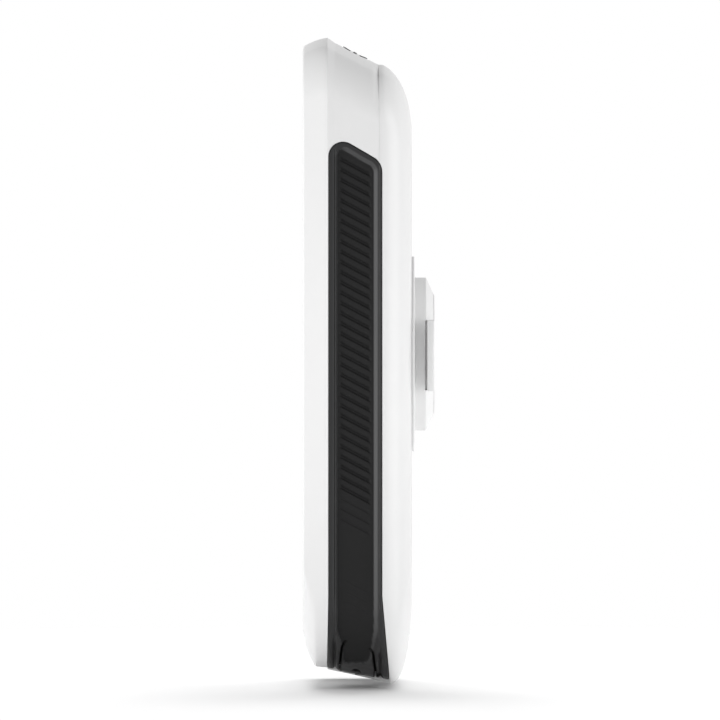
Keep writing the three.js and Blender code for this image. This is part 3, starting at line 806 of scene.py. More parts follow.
def screen_glass_material():
    """Black-backed cover glass with the switched-off display faintly different behind it."""
    material = finish_material("cover glass", (0.004, 0.004, 0.005), 0.06, grain=400.0, bump=0.02,
                               bump_height=0.000004, tone=0.2, spread=0.03, specular=0.33, ior=1.52)
    tree = material.node_tree
    shader = tree.nodes["Principled BSDF"]
    place = tree.nodes.new("ShaderNodeTexCoord")
    split = tree.nodes.new("ShaderNodeSeparateXYZ")
    tree.links.new(place.outputs["Object"], split.inputs["Vector"])
    low, high = node_box("display_panel")
    centre_z, (half_x, _, half_z) = (low[2] + high[2]) / 2, (high - low) / 2
    across = math_node(tree, "ABSOLUTE", split.outputs["X"])
    along = math_node(tree, "ABSOLUTE", math_node(tree, "SUBTRACT", split.outputs["Z"], centre_z * MM))
    in_x = math_node(tree, "LESS_THAN", across, half_x * MM)
    in_z = math_node(tree, "LESS_THAN", along, half_z * MM)
    shown = math_node(tree, "MULTIPLY", in_x, in_z)
    border, display = (0.0025, 0.0025, 0.003, 1), (0.011, 0.012, 0.013, 1)
    tree.links.new(mixed_color(tree, shown, border, display), shader.inputs["Base Color"])
    return material


def rubber_material():
    """Black rubber: satin rim, glossier slopes painted paler as a highlight, a darker matt panel, and
    painted shade in the slits and hollows beside the cap, all by the piece's own marks.
    """
    grip = bpy.context.scene.computer_grip
    material = finish_material("grip_rubber", grip.color, 0.5, grain=6500.0, bump=0.3, tone=0.1, wear=0.25,
                               specular=0.32, spread=0.25)
    tree = material.node_tree
    shader = tree.nodes["Principled BSDF"]
    tint = shader.inputs["Base Color"].links[0].from_socket
    rough = shader.inputs["Roughness"].links[0].from_socket
    # slope: a paler colour painted as highlight, with a lower roughness; panel: darker matt finish; gap:
    # near-black painted shade.
    for name, color, gloss in (("slope", grip.slope_highlight_color, 0.34), ("panel", grip.panel_color, 0.66),
                               ("gap", (0.0005, 0.0005, 0.0005), 1.0)):
        mark = tree.nodes.new("ShaderNodeAttribute")
        mark.attribute_name = name
        tint = mixed_color(tree, mark.outputs["Fac"], tint, (*color, 1))
        keep = math_node(tree, "MULTIPLY", rough, math_node(tree, "SUBTRACT", 1.0, mark.outputs["Fac"]))
        rough = math_node(tree, "ADD", keep, math_node(tree, "MULTIPLY", mark.outputs["Fac"], gloss))
    tree.links.new(tint, shader.inputs["Base Color"])
    tree.links.new(rough, shader.inputs["Roughness"])
    return material


FINISHES = {
    "display_glass": {"color": (0.01, 0.011, 0.013), "roughness": 0.12, "bump": 0.02, "tone": 0.2},
    "diffuser": {"color": (0.72, 0.72, 0.70), "roughness": 0.5, "tone": 0.03},
    # A black sheet under the cap's rubber: painted shade that keeps the slits dark.
    "shade_sheet_black": {"color": (0.004, 0.004, 0.004), "roughness": 0.9, "specular": 0.1},
    "icon_black": {"color": (0.012, 0.012, 0.013), "roughness": 0.45, "bump": 0.05, "tone": 0.1},
    "icon_grey": {"color": (0.10, 0.105, 0.11), "roughness": 0.45, "bump": 0.05, "tone": 0.1},
    "port_black": {"color": (0.01, 0.01, 0.011), "roughness": 0.5, "tone": 0.2},
    "switch_black": {"color": (0.02, 0.02, 0.022), "roughness": 0.45, "bump": 0.15, "tone": 0.15,
                     "wear": 0.3},
    "connector_ivory": {"color": (0.70, 0.64, 0.48), "roughness": 0.5, "bump": 0.12, "wear": 0.2},
    "silicone": {"color": (0.12, 0.125, 0.135), "roughness": 0.6, "grain": 4000.0, "bump": 0.2, "tone": 0.1},
    "black_foam": {"color": (0.014, 0.014, 0.015), "roughness": 0.9, "grain": 3500.0, "bump": 0.8,
                   "bump_height": 0.00008, "tone": 0.3},
    "cell_wrap": {"color": (0.30, 0.31, 0.33), "roughness": 0.4, "grain": 900.0, "bump": 0.35,
                  "bump_height": 0.00006, "tone": 0.12},
    "circuit_board": {"color": (0.012, 0.085, 0.045), "roughness": 0.4, "grain": 1800.0, "bump": 0.4,
                      "bump_height": 0.00004, "tone": 0.3, "wear": 0.5, "wear_color": (0.55, 0.42, 0.16)},
    "flex_amber": {"color": (0.36, 0.13, 0.015), "roughness": 0.3, "grain": 1600.0, "bump": 0.15,
                   "tone": 0.2, "coat": 0.3},
    "steel": {"color": (0.56, 0.57, 0.58), "roughness": 0.28, "grain": 2600.0, "bump": 0.15, "wear": 0.4,
              "wear_color": (0.8, 0.8, 0.8), "metallic": 1.0, "spread": 0.2},
    "chassis_metal": {"color": (0.62, 0.63, 0.64), "roughness": 0.42, "grain": 1500.0, "bump": 0.2,
                      "tone": 0.08, "wear": 0.4, "wear_color": (0.82, 0.82, 0.82), "metallic": 1.0,
                      "spread": 0.25},
    "shield_metal": {"color": (0.66, 0.66, 0.65), "roughness": 0.34, "grain": 1200.0, "bump": 0.12,
                     "tone": 0.05, "metallic": 1.0, "spread": 0.2},
    "brass": {"color": (0.62, 0.42, 0.14), "roughness": 0.32, "grain": 2000.0, "bump": 0.12, "tone": 0.1,
              "wear": 0.4, "wear_color": (0.85, 0.66, 0.3), "metallic": 1.0},
}


def case_material():
    """Smooth white moulding of the shells and the keys."""
    case = bpy.context.scene.computer_case
    return finish_material("white_case", case.color, case.roughness, grain=2500.0, bump=0.012, tone=0.006,
                           specular=0.4, spread=0.015)


def mount_material():
    """Light grey moulding of the mount."""
    color = bpy.context.scene.computer_mount.color
    return finish_material("mount_plastic", color, 0.45, grain=5000.0, bump=0.12, tone=0.012, specular=0.45)


def material_for(finish):
    """The material of a finish, made once."""
    if finish not in MATERIALS:
        makers = {"white_case": case_material, "mount_plastic": mount_material,
                  "grip_rubber": rubber_material, "cover_glass": screen_glass_material}
        maker = makers.get(finish)
        MATERIALS[finish] = maker() if maker else finish_material(finish, **FINISHES[finish])
    return MATERIALS[finish]


# ------------------------------------------------------------------ helpers for the pieces
def grid_slab(name, y, s, height, depth):
    """A closed slab whose outer face follows the right-hand skin over a grid of y and s, raised by
    height, and whose inner face is smooth at depth."""
    outer = skin_point(y, s, -height)
    edge = [0, -1]
    inner = skin_point(y[:, edge], s[:, edge], np.full(y[:, edge].shape, depth))
    rows, columns = y.shape
    vertices = np.concatenate([outer.reshape(-1, 3), inner.reshape(-1, 3)])
    start = rows * columns

    def top(r, c):
        return r * columns + c

    def under(r, c):
        return start + r * 2 + c

    faces = []
    for r in range(rows - 1):
        for c in range(columns - 1):
            faces.append([top(r, c), top(r, c + 1), top(r + 1, c + 1), top(r + 1, c)])
        faces.append([under(r, 1), under(r, 0), under(r + 1, 0), under(r + 1, 1)])
        faces.append([top(r, 0), top(r + 1, 0), under(r + 1, 0), under(r, 0)])
        faces.append([top(r + 1, columns - 1), top(r, columns - 1), under(r, 1), under(r + 1, 1)])
    for r, ends in ((0, (0, 1)), (rows - 1, (1, 0))):
        loop = [top(r, c) for c in range(columns)]
        loop = loop[::-1] if r == 0 else loop
        faces.append(loop + [under(r, e) for e in ends])
    return new_object(name, vertices, faces)


def points_of(mesh):
    """The mesh's points in metres, one row each."""
    co = np.zeros(len(mesh.vertices) * 3)
    mesh.vertices.foreach_get("co", co)
    return co.reshape(-1, 3)


def mirrored(piece):
    """Turns a right-hand mesh into the left-hand one."""
    co = points_of(piece.data)
    co[:, 0] *= -1
    piece.data.vertices.foreach_set("co", co.ravel())
    piece.data.flip_normals()
    return piece


def polish(piece, degrees=30):
    """Smooth shading that keeps flats flat."""
    smooth(piece, degrees)
    weigh = piece.modifiers.new("keep flats flat", "WEIGHTED_NORMAL")
    weigh.keep_sharp = True
    weigh.weight = 60
    return piece


def eased(y0, y1, front=0.0, back=0.0, steps=4):
    """(y, inset) pairs of a block with rounded front and back edges."""
    return rounded_end(y0, front, 1, steps) + rounded_end(y1, back, -1, steps)[::-1]


def rectangle_of(width, height, radius, steps=10):
    """An outline function of grow for a rounded rectangle."""
    def outline(grow):
        corner = max(radius + grow, 0.02)
        return rounded_rectangle(width + 2 * grow, height + 2 * grow, corner, steps)

    return outline


def block(name, outline_of, pairs, x=0.0, z=0.0):
    """A block along Y from (y, inset) pairs. outline_of(grow) gives its outline in X and Z."""
    return lofted(name, [at_y(outline_of(-inset), y, x, z) for y, inset in pairs])


def opening(name, outline_of, y_face, y_end, lip, x=0.0, z=0.0):
    """A cutter for an opening from the front face inwards, with a rounded lip."""
    pairs = [(y_face - 1.0, -lip), (y_face, -lip)]
    for i in range(1, 5):
        a = math.pi / 2 * i / 4
        pairs.append((y_face + lip * math.sin(a), -lip * math.cos(a)))
    pairs.append((y_end, 0.0))
    return block(name, outline_of, pairs, x, z)


# ------------------------------------------------------------------ grips and weather cap
def slit_shade_mask(y, s):
    """Where shade is painted: 1 inside the slits beside the flap and in the hollows at its tip, 0 away from
    them.
    """
    gap = np.zeros(np.shape(y))
    for line in (SLIT_FRONT, SLIT_REAR):
        away = line_distance(y, s, unrolled_slit(line)) - SLIT / 2
        gap = np.maximum(gap, 1 - ease_step(away, 0.02, 0.1))
    return np.maximum(gap, hollows(y, s))


def hollows(y, s):
    """1 in the fingernail notch under the flap's tip and in the corner behind it."""
    inside_any = np.zeros(np.shape(y))
    for middle, top, low, half in TIP_HOLLOWS:
        s_top, s_low = (float(s_of(np.array(middle), np.array(z))) for z in (top, low))
        across = (y - middle) / half
        up = (s - s_low) / (s_top - s_low)
        dome_shape = 1 - ease_step(np.hypot(across, np.maximum(up, 0)), 0.8, 1.05)
        inside_any = np.maximum(inside_any, dome_shape * ease_step(up, -0.1, 0.0))
    return inside_any


def panel_wall(y, s):
    """Width of the slope that leads down to the sunken panel: narrow in front, wide elsewhere."""
    narrow, widening, narrowing = 0.22, 0.48, 0.6
    behind_rim = ease_step(y, GRIP_FRONT_Y + 1.6, GRIP_FRONT_Y + 3.0)
    return narrow + widening * behind_rim * (1 - narrowing * ease_step(-s, 44.5, 47.0))


def rim_and_panel(y, s):
    """How far the rubber falls at its rounded rim, down to the panel and in the line behind the rim."""
    rim_round, straight_share, line_depth, line_half = 0.24, 0.75, 0.13, 0.15
    fall = rounding(inside(y, s, unrolled(grip_outline())), rim_round)
    slope = np.clip(inside(y, s, unrolled(panel_outline())) / panel_wall(y, s), 0, 1)
    shape = straight_share * slope + (1 - straight_share) * ease_step(slope, 0, 1)
    fall += bpy.context.scene.computer_grip.panel_depth / MM * shape
    line = np.clip(1 - np.abs(y - LINE_Y) / line_half, 0, 1)
    return fall + line_depth * line * ease_step(-s, -34.2, -33.2) * (1 - ease_step(-s, 44.0, 46.0))


def grooves(y, s):
    """How far the rubber falls in its slanting grooves. Three shallow ones follow the last full one,
    and further down there are faint raised lines."""
    grip = bpy.context.scene.computer_grip
    pitch, fade = grip.pitch / MM, 0.5
    across = ease_step(y, GROOVE_FRONT_Y, GROOVE_FRONT_Y + fade)
    across *= 1 - ease_step(y, GROOVE_REAR_Y - fade, GROOVE_REAR_Y)
    along = (FIRST_GROOVE_Z - (s + GROOVE_SLANT * (y - GROOVE_FRONT_Y))) / pitch
    count = np.round(along)
    off_centre = np.abs(along - count) * pitch * math.cos(math.atan(GROOVE_SLANT))
    profile = np.clip(1 - off_centre / (grip.groove_width / MM / 2), 0, 1)
    profile = np.sqrt(profile * (2 - profile))
    past_last = count - (grip.grooves - 1)
    strength = np.where((count >= 0) & (past_last <= 0), 1.0, 0.0)
    for extra, share in enumerate(SHALLOW_GROOVES, start=1):
        strength = np.where(past_last == extra, share, strength)
    line_half, line_height = 0.14, 0.035
    lines = np.clip(1 - off_centre / line_half, 0, 1) * np.isin(past_last, FAINT_LINES)
    lines *= ease_step(y, -14.6, -13.6) * (1 - ease_step(y, -11.2, -10.4))
    return grip.groove_depth / MM * profile * across * strength - line_height * lines


def cap_relief(y, s):
    """How far the rubber falls round the cap: the slits' rounded edges, the hollows beside them and the
    hollows at the flap's tip. A low bead follows each slit on its outer side."""
    edge_round, tip_depth, bead_height, bead_half, bead_away = 0.07, 0.3, 0.05, 0.22, 0.55
    fall = tip_depth * hollows(y, s)
    for line, side in ((SLIT_FRONT, -1), (SLIT_REAR, 1)):
        slit = unrolled_slit(line)
        away = np.clip(line_distance(y, s, slit) - SLIT / 2, 0, None)
        from_end = np.hypot(y - slit[0, 0], s - slit[0, 1])
        fall += rounding(away, edge_round) * ease_step(from_end, 0.1, 0.5)
        bead_y = np.interp(s, slit[::-1, 1], slit[::-1, 0]) + side * bead_away
        bead = np.exp(-((y - bead_y) / bead_half) ** 2)
        fall -= bead_height * bead * ease_step(-s, 47.0, 48.5)
    for line, fade, depth, half in SIDE_HOLLOWS:
        off_centre = line_distance(y, s, np.array(line, float)) / half
        fall += depth * np.clip(1 - off_centre**2, 0, 1) ** 1.5 * ease_step(-s, *fade)
    return fall


def rubber_height(y, s, with_cap):
    """Height of the rubber over the skin. With the cap, its slits and soft hollows are there too."""
    tuck_front, tuck_more = 0.2, 0.3
    tuck = (tuck_front + tuck_more * np.clip((y + 15) / 7, 0, 1)) * ease_step(-s, 54.5, 58.0)
    height = -rim_and_panel(y, s) - grooves(y, s) - tuck
    return height - cap_relief(y, s) if with_cap else height


def rubber_rows(low_s, high_s):
    """Row positions, at the front groove line, dense where there are grooves and slits."""
    grip = bpy.context.scene.computer_grip
    pitch, half = grip.pitch / MM, grip.groove_width / MM / 2 / math.cos(math.atan(GROOVE_SLANT))
    first, last = FIRST_GROOVE_Z + 0.6, FIRST_GROOVE_Z - (grip.grooves + 2) * pitch - 0.6
    slits_low, slits_high, closest = -62, -42, 0.035
    rows = [r for r in np.arange(low_s, high_s, 0.5) if not (last < r < first or slits_low < r < slits_high)]
    rows += [*np.arange(slits_low, slits_high, 0.2), *np.arange(33.2, 38.4, 0.16)]
    for k in range(grip.grooves + len(SHALLOW_GROOVES)):
        centre = FIRST_GROOVE_Z - k * pitch
        rows += [centre + sign * half * part for sign in (-1, 1) for part in (0.12, 0.45, 0.75, 0.93, 1.02)]
        rows += [centre + half * 1.02 + (pitch - 2.04 * half) * part for part in (0.33, 0.67)]
    for k in FAINT_LINES:
        centre = FIRST_GROOVE_Z - (grip.grooves - 1 + k) * pitch
        rows += [centre + d for d in (-0.16, -0.08, 0.0, 0.08, 0.16)]
    rows = np.array(sorted(r for r in rows if low_s <= r < high_s))
    return rows[np.concatenate([[True], np.diff(rows) > closest])]


def rubber_columns(row_s):
    """Depths of the columns at rows of s: fixed distances from both edges, even between them."""
    side = unrolled(grip_outline())
    edges = []
    for line, corner_s, straight_y in ((side[side[:, 0] < -15.0], 33.0, GRIP_FRONT_Y),
                                       (side[side[:, 0] > -10.5], 28.0, GRIP_REAR_Y)):
        order = np.argsort(line[:, 1])
        edge = np.interp(row_s, line[order, 1], line[order, 0])
        edges.append(np.where(row_s > corner_s, straight_y, edge))
    front, rear = edges
    first, last = front + NEAR_FRONT[-1], rear - NEAR_REAR[0]
    columns = [front + d for d in NEAR_FRONT]
    columns += [first + (last - first) * i / (MIDDLE_COLUMNS + 1) for i in range(1, MIDDLE_COLUMNS + 1)]
    columns += [rear - d for d in NEAR_REAR]
    return np.stack(columns, 1)


def rubber_slab(name, low_s, high_s, with_cap):
    """The rubber before it is cut to its outline. Its rows slant with the grooves, so the columns are
    placed once on level rows and then again on the slanting ones."""
    rows = rubber_rows(low_s, high_s)
    y = rubber_columns(rows)
    s = rows[:, None] - GROOVE_SLANT * (y - GROOVE_FRONT_Y)
    y = np.stack([rubber_columns(column)[:, c] for c, column in enumerate(s.T)], 1)
    s = rows[:, None] - GROOVE_SLANT * (y - GROOVE_FRONT_Y)
    return grid_slab(name, y, s, rubber_height(y, s, with_cap), RUBBER)


def mark_finish_and_painted_light(piece):
    """Stores on each point how far it is in the sunken panel, on the slopes round it and in the slits and
    hollows beside the cap. The slopes' mark paints a paler highlight, and the slits' mark paints shade."""
    mesh = piece.data
    x, y, z = points_of(mesh).T / MM
    underneath_x = 17.0
    s = np.where(np.abs(x) < underneath_x, UNDERSIDE_S, s_of(y, z))
    edge = inside(y, s, unrolled(panel_outline()))
    wall = panel_wall(y, s)
    panel = ease_step(edge, wall - 0.06, wall + 0.06)
    wide = ease_step(wall, 0.3, 0.6) * ease_step(s, -46.5, -43.0)
    # Painted highlight on the slopes: full where they are wide, a quarter as strong where they are narrow.
    slope = ease_step(edge, -0.05, 0.05) * (1 - panel) * (0.25 + 0.75 * wide)
    gloss = 0.35
    # Painted sheen on the flap's lower tip, where it curves under.
    tip = gloss * ease_step(-s, 50.0, 51.0) * ease_step(y, -15.2, -14.9) * (1 - ease_step(y, -9.9, -9.6))
    # Two painted highlight lines, one on each edge of the groove behind the front rim.
    lines = gloss * np.clip(1 - np.abs(np.abs(y - LINE_Y) - 0.19) / 0.09, 0, 1) * (1 - panel)
    lines *= ease_step(-s, -34.0, -33.0) * (1 - ease_step(-s, 43.0, 45.5))
    slope = np.maximum.reduce([slope, tip, lines])
    # The gap mark paints near-black shade in the slits and hollows on the right side.
    for name, values in (("panel", panel), ("slope", slope), ("gap", slit_shade_mask(y, s) * (x > 0))):
        attribute = mesh.attributes.new(name, "FLOAT", "POINT")
        attribute.data.foreach_set("value", values.astype(np.float32))
    return piece


def dress_rubber(piece, body, node):
    """Shading, finish and painted light marks, body and stand-in of a rubber piece."""
    smooth(piece, 38)
    mark_finish_and_painted_light(piece)
    return dress(piece, body, "grip_rubber", node)


class BuildGrips(bpy.types.Operator):
    """Left grip, right grip and the weather cap that is hinged on the right grip's lower end."""

    bl_idname = "computer.grips"
    bl_label = "Side grips and weather cap"

    def execute(self, context):
        outline = prism_x("grip side", grip_outline(), GRIP_INNER_X, OUTSIDE_X)
        low_s, high_s = -64, 38.6
        left = rubber_slab("side_grip_left_rubber", low_s, high_s, False)
        carve(left, outline, "INTERSECT", keep=True)
        dress_rubber(mirrored(left), "case", "side_grip_left")

        right = rubber_slab("side_grip_right_rubber", low_s, high_s, True)
        carve(right, outline, "INTERSECT")
        bay = prism_x("cap bay", flap_outline(-SLIT / 2), FLAP_FREE_X - 1, OUTSIDE_X)
        dress_rubber(carve(right, bay), "case", "side_grip_right")

        cap = rubber_slab("weather_cap_rubber", UNDERSIDE_S + 1, -40, True)
        cap = carve(cap, prism_x("cap side", flap_outline(SLIT / 2), FLAP_FREE_X, OUTSIDE_X), "INTERSECT")
        x, y, _ = node_middle("usb_connector")
        plug_width, plug_depth, plug_corner = 7.0, 2.6, 0.6
        levels = ((-49.98, 0.25), (-50.05, 0.1), (-50.2, 0.0), (-51.6, 0.0))
        plug = lofted("plug", [
            at_z(rounded_rectangle(plug_width - 2 * e, plug_depth - 2 * e, plug_corner), z, x, y)
            for z, e in levels])
        cap = carve(cap, plug, "UNION")
        dress_rubber(cap, None, "weather_cap")
        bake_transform(cap)

        # A thin black sheet in the cap's bed, just under the rubber: painted shade seen through the slits.
        rows, across = np.arange(-57.0, -45.4, 0.5), np.linspace(-16.4, -8.9, 16)
        s, y = np.meshgrid(rows, across, indexing="ij")
        under, thickness = 0.01, 0.05
        shade_sheet = grid_slab("cap_bed_shade_sheet", y, s, np.full(y.shape, -RUBBER - under), RUBBER + thickness)
        dress(shade_sheet, "case", "switch_black", finish="shade_sheet_black")
        return {"FINISHED"}


# ------------------------------------------------------------------ shells
def displaced(piece, shift):
    """Moves vertices by shift(x, y, z) in millimetres."""
    co = points_of(piece.data) / MM
    co += shift(*co.T)
    piece.data.vertices.foreach_set("co", (co * MM).ravel())
    piece.data.update()
    return piece


SEAM_GAP = 0.004
LEDGE_DEPTH = 0.22


def corner_inward(x, z):
    """Directions into the top corners, level on the sides and upright at the middle."""
    corner_x, corner_z = 19.4, 39.4
    outward = np.stack([np.clip(np.abs(x) - corner_x, 0, None) * np.sign(x), np.zeros_like(x),
                        np.maximum(z - corner_z, 0.01)], -1)
    return -outward / np.linalg.norm(outward, axis=-1, keepdims=True)


def ledge_groove(x, y, z):
    """The centre frame dips in front of the back shell's rim, round the top corners."""
    reach = ease_step(y, RIM_Y - 1.0, RIM_Y - 0.15) * ease_step(z, 38.0, 43.0)
    reach *= ease_step(np.abs(x), 9.0, 20.0)
    return LEDGE_DEPTH * reach[:, None] * corner_inward(x, z)


def ledge_crest(x, y, z):
    """The back shell's rim is rounded where it stands proud, over the top and its corners."""
    reach = (1 - ease_step(y, RIM_Y, RIM_Y + 0.7)) * ease_step(z, 37.0, 43.0)
    return LEDGE_DEPTH * reach[:, None] * corner_inward(x, z)


def cut_beds(shell):
    """Cuts the beds of both grips and of the cap. The grips' beds have a small chamfer outside."""
    wide, close = grip_outline(0.16), grip_outline(BED_GAP)
    grip_bed = ((OUTSIDE_X, wide), (27.6, wide), (27.33, close), (GRIP_INNER_X - BED_GAP, close))
    cap_bed = [(x, flap_outline(-BED_GAP)) for x in (OUTSIDE_X, FLAP_FREE_X - 0.2)]
    core_front, core_rear, core_gap = -18.5, -5.5, 0.12
    for bed, left in ((grip_bed, False), (cap_bed, False), (grip_bed, True)):
        cutter = lofted("bed", [at_x(anticlockwise(outline), x) for x, outline in bed])
        carve(cutter, skin_solid("bed core", core_front, core_rear, inset=RUBBER + core_gap))
        carve(shell, mirrored(cutter) if left else cutter)


class BuildFrontFrame(bpy.types.Operator):
    """Front frame with the lens seat, the display window and the holes of the two front keys."""

    bl_idname = "computer.front_frame"
    bl_label = "Front frame"

    def execute(self, context):
        shell = skin_solid("front_frame_shell", FRONT_Y, SPLIT_Y, front=0.3, fine=2)
        lens_width, _, lens_height = LENS_HIGH - LENS_LOW
        lens_z = (LENS_HIGH[2] + LENS_LOW[2]) / 2
        seat_gap, seat_depth = 0.16, LENS_HIGH[1] + 0.28
        seat = rectangle_of(lens_width + seat_gap, lens_height + seat_gap, 3.08)
        carve(shell, opening("lens seat", seat, FRONT_Y, seat_depth, 0.12, z=lens_z))
        panel_low, panel_high = node_box("display_panel")
        panel_width, _, panel_height = panel_high - panel_low
        side_margin, end_margin = 1.4, 2.0
        window = rectangle_of(panel_width + side_margin, panel_height + end_margin, 1.5)
        carve(shell, block("window", window, [(FRONT_Y - 1, 0), (SPLIT_Y + 1, 0)], z=lens_z))
        for name in ("lap_key", "start_key"):
            x, z, width, height = key_place(name)
            hole = rectangle_of(width + 2 * KEY_GAP, height + 2 * KEY_GAP, height / 2 + 0.04)
            carve(shell, opening(name + " hole", hole, FRONT_Y, SPLIT_Y + 1, 0.15, x=x, z=z))
        hollow_front, wall, bay_front = -19.1, 2.4, -19.85
        carve(shell, skin_solid("front hollow", hollow_front, SPLIT_Y + 1, inset=wall))
        bay = rectangle_of(38.5, 9.0, 2.0)
        carve(shell, block("key bay", bay, [(bay_front, 0), (SPLIT_Y + 1, 0)], z=key_place("lap_key")[1]))
        polish(shell)
        dress(shell, "case", "white_case", "front_frame")
        return {"FINISHED"}


def power_ring(w, grow=0.0, corner=POWER_CORNER):
    """The power key's outline at height w over the slope, as points [u, v, w]."""
    return at_z(rounded_rectangle(POWER_WIDTH + 2 * grow, POWER_DEPTH + 2 * grow, corner), w)


def on_slope(name, rings):
    """A solid from rings [u, v, w]: along X, down the slope and outward, from the outer one inwards."""
    slope = TOP_SLOPE
    origin = np.array([0.0, POWER_Y, CREASE_TOP - (POWER_Y - CREASE_Y) * math.tan(slope)])
    across = np.array([1.0, 0.0, 0.0])
    down = np.array([0.0, math.cos(slope), -math.sin(slope)])
    out = np.array([0.0, math.sin(slope), math.cos(slope)])
    placed = [origin + r[:, :1] * across + r[:, 1:2] * down + r[:, 2:3] * out for r in rings]
    return lofted(name, placed)


class BuildCentreFrame(bpy.types.Operator):
    """Centre frame with the grips' beds, the port's opening and the power key's hole."""

    bl_idname = "computer.centre_frame"
    bl_label = "Centre frame"

    def execute(self, context):
        shell = skin_solid("centre_frame_shell", SPLIT_Y + SEAM_GAP, RIM_Y - SEAM_GAP, fine=2)
        displaced(shell, ledge_groove)
        wall = 2.8
        carve(shell, skin_solid("centre hollow", SPLIT_Y - 1, RIM_Y + 1, inset=wall))
        cut_beds(shell)
        x, y, _ = node_middle("usb_connector")
        port = rounded_rectangle(8.3, 3.3, 0.8)
        carve(shell, lofted("port hole", [at_z(port, z, x, y) for z in (-46.0, -51.0, -53.5)]))
        levels = ((3.0, 0.25), (0.12, 0.25), (0.03, 0.2), (-0.05, 0.12), (-8.0, 0.12))
        hole = [power_ring(w, grow, POWER_CORNER + grow) for w, grow in levels]
        carve(shell, on_slope("power hole", hole))
        polish(shell)
        dress(shell, "case", "white_case", "centre_frame")
        return {"FINISHED"}


class BuildRearHousing(bpy.types.Operator):
    """Rear housing with its screw pockets and bosses."""

    bl_idname = "computer.rear_housing"
    bl_label = "Rear housing"

    def execute(self, context):
        side_wall, back_wall = 2.0, 1.45
        boss, hole, seat, mouth, seat_y = 2.9, 1.0, 1.75, 1.95, -6.35
        shell = skin_solid("rear_housing_shell", RIM_Y + 0.005, BACK_Y, fine=2)
        displaced(shell, ledge_crest)
        hollow = skin_solid("rear hollow", RIM_Y - 1, BACK_Y - back_wall, inset=side_wall, ahead=back_wall)
        carve(shell, hollow)
        for x, z in screw_places("case_screw"):
            carve(shell, turned("boss", [(boss, RIM_Y + 0.02), (boss, -5.0)], (x, z), 40), "UNION")
            pocket = [(hole, RIM_Y - 1), (hole, seat_y), (seat, seat_y), (seat, -3.95),
                      (mouth, BACK_Y), (mouth, -2.0)]
            carve(shell, turned("screw pocket", pocket, (x, z), 48))
        for x, z in screw_places("mount_screw"):
            carve(shell, turned("mount screw hole", [(0.9, -6.5), (0.9, -3.0)], (x, z), 24))
        cut_beds(shell)
        polish(shell)
        dress(shell, "case", "white_case", "rear_housing")
        return {"FINISHED"}


# ------------------------------------------------------------------ screen, keys and icons
class BuildCoverLens(bpy.types.Operator):
    """Cover glass with a polished edge, over the switched-off display."""

    bl_idname = "computer.cover_lens"
    bl_label = "Cover lens"

    def execute(self, context):
        size = LENS_HIGH - LENS_LOW
        outline = rectangle_of(size[0], size[2], 3.0, 16)
        pairs = eased(LENS_LOW[1], LENS_HIGH[1], 0.22, 0.08, 6)
        glass = block("cover_lens_glass", outline, pairs, z=(LENS_HIGH[2] + LENS_LOW[2]) / 2)
        polish(glass)
        dress(glass, "case", "cover_glass", "cover_lens")
        return {"FINISHED"}


def stroke_ring(radius, width, start, end, steps=48):
    """A flat arc in the X and Z plane as a closed outline. Angles are in degrees."""
    angles = np.radians(np.linspace(start, end, steps))
    arc = np.column_stack([np.cos(angles), np.sin(angles)])
    return np.vstack([arc * (radius + width / 2), arc[::-1] * (radius - width / 2)])


def flat_icon(name, outlines, y_face, centre, body, proud=0.02, sunk=0.25):
    """Printed marks as thin solids standing a hair proud of a key's face."""
    ends = (y_face - proud, y_face + sunk)
    pieces = [lofted(name, [at_y(anticlockwise(ring), y, *centre) for y in ends]) for ring in outlines]
    icon = joined(name, pieces)
    polish(icon)
    return dress(icon, body, "switch_black", finish="icon_grey")


def joined(name, pieces):
    """Several meshes as one object."""
    first = pieces[0]
    if len(pieces) > 1:
        with bpy.context.temp_override(active_object=first, selected_editable_objects=pieces):
            bpy.ops.object.join()
    first.name = name
    first.data.name = name
    return first


def box_outline(u0, u1, v0, v1):
    """A rectangle as a closed outline."""
    return np.array([(u0, v0), (u1, v0), (u1, v1), (u0, v1)])


class BuildFrontKeys(bpy.types.Operator):
    """Lap key and start key, each a pill with soft edges, a shallow dish and a plain mark."""

    bl_idname = "computer.front_keys"
    bl_label = "Front keys"

    def execute(self, context):
        for name, body in (("lap_key", "lap_button"), ("start_key", "start_button")):
            low, high = node_box(name)
            x, z, width, height = key_place(name)
            pill = rectangle_of(width, height, height / 2 - 0.05, 14)
            face_y, flange_y = low[1] + DISH_DEPTH, low[1] + 1.55
            dish = [(face_y, 2.2), (low[1] + 0.085, 1.6), (low[1] + 0.05, 1.05), (low[1] + 0.01, 0.62)]
            edge = [(low[1] + 0.4 * (1 - math.cos(a)), 0.4 * (1 - math.sin(a)))
                    for a in np.radians([0, 18, 36, 54, 72, 90])]
            pairs = dish + edge + [(flange_y, 0.0), (flange_y, -KEY_FLANGE), (flange_y + 0.4, -KEY_FLANGE)]
            key = block(name + "_cap", pill, pairs, x=x, z=z)
            carve(key, turned("stem", [(0.9, flange_y + 0.3), (0.9, high[1])], (x, z), 32), "UNION")
            polish(key)
            dress(key, body, "white_case", name)
            if name == "start_key":
                marks = [np.array([(-2.0, -1.05), (-0.2, 0.0), (-2.0, 1.05)]),
                         box_outline(0.5, 0.95, -1.0, 1.0), box_outline(1.45, 1.9, -1.0, 1.0)]
            else:
                marks = [stroke_ring(1.15, 0.4, -40, 250),
                         np.array([(0.1, -1.55), (1.65, -1.35), (0.85, -0.2)])]
            flat_icon(name + "_mark", marks, face_y, (x, z), body)
        return {"FINISHED"}


def dome(u):
    """Height of the power key over the slope: a low crown in the middle, sunk a little at both ends."""
    return POWER_PROUD - (POWER_PROUD + POWER_SUNK) * np.clip((u / POWER_CROWN) ** 2, 0, 1)


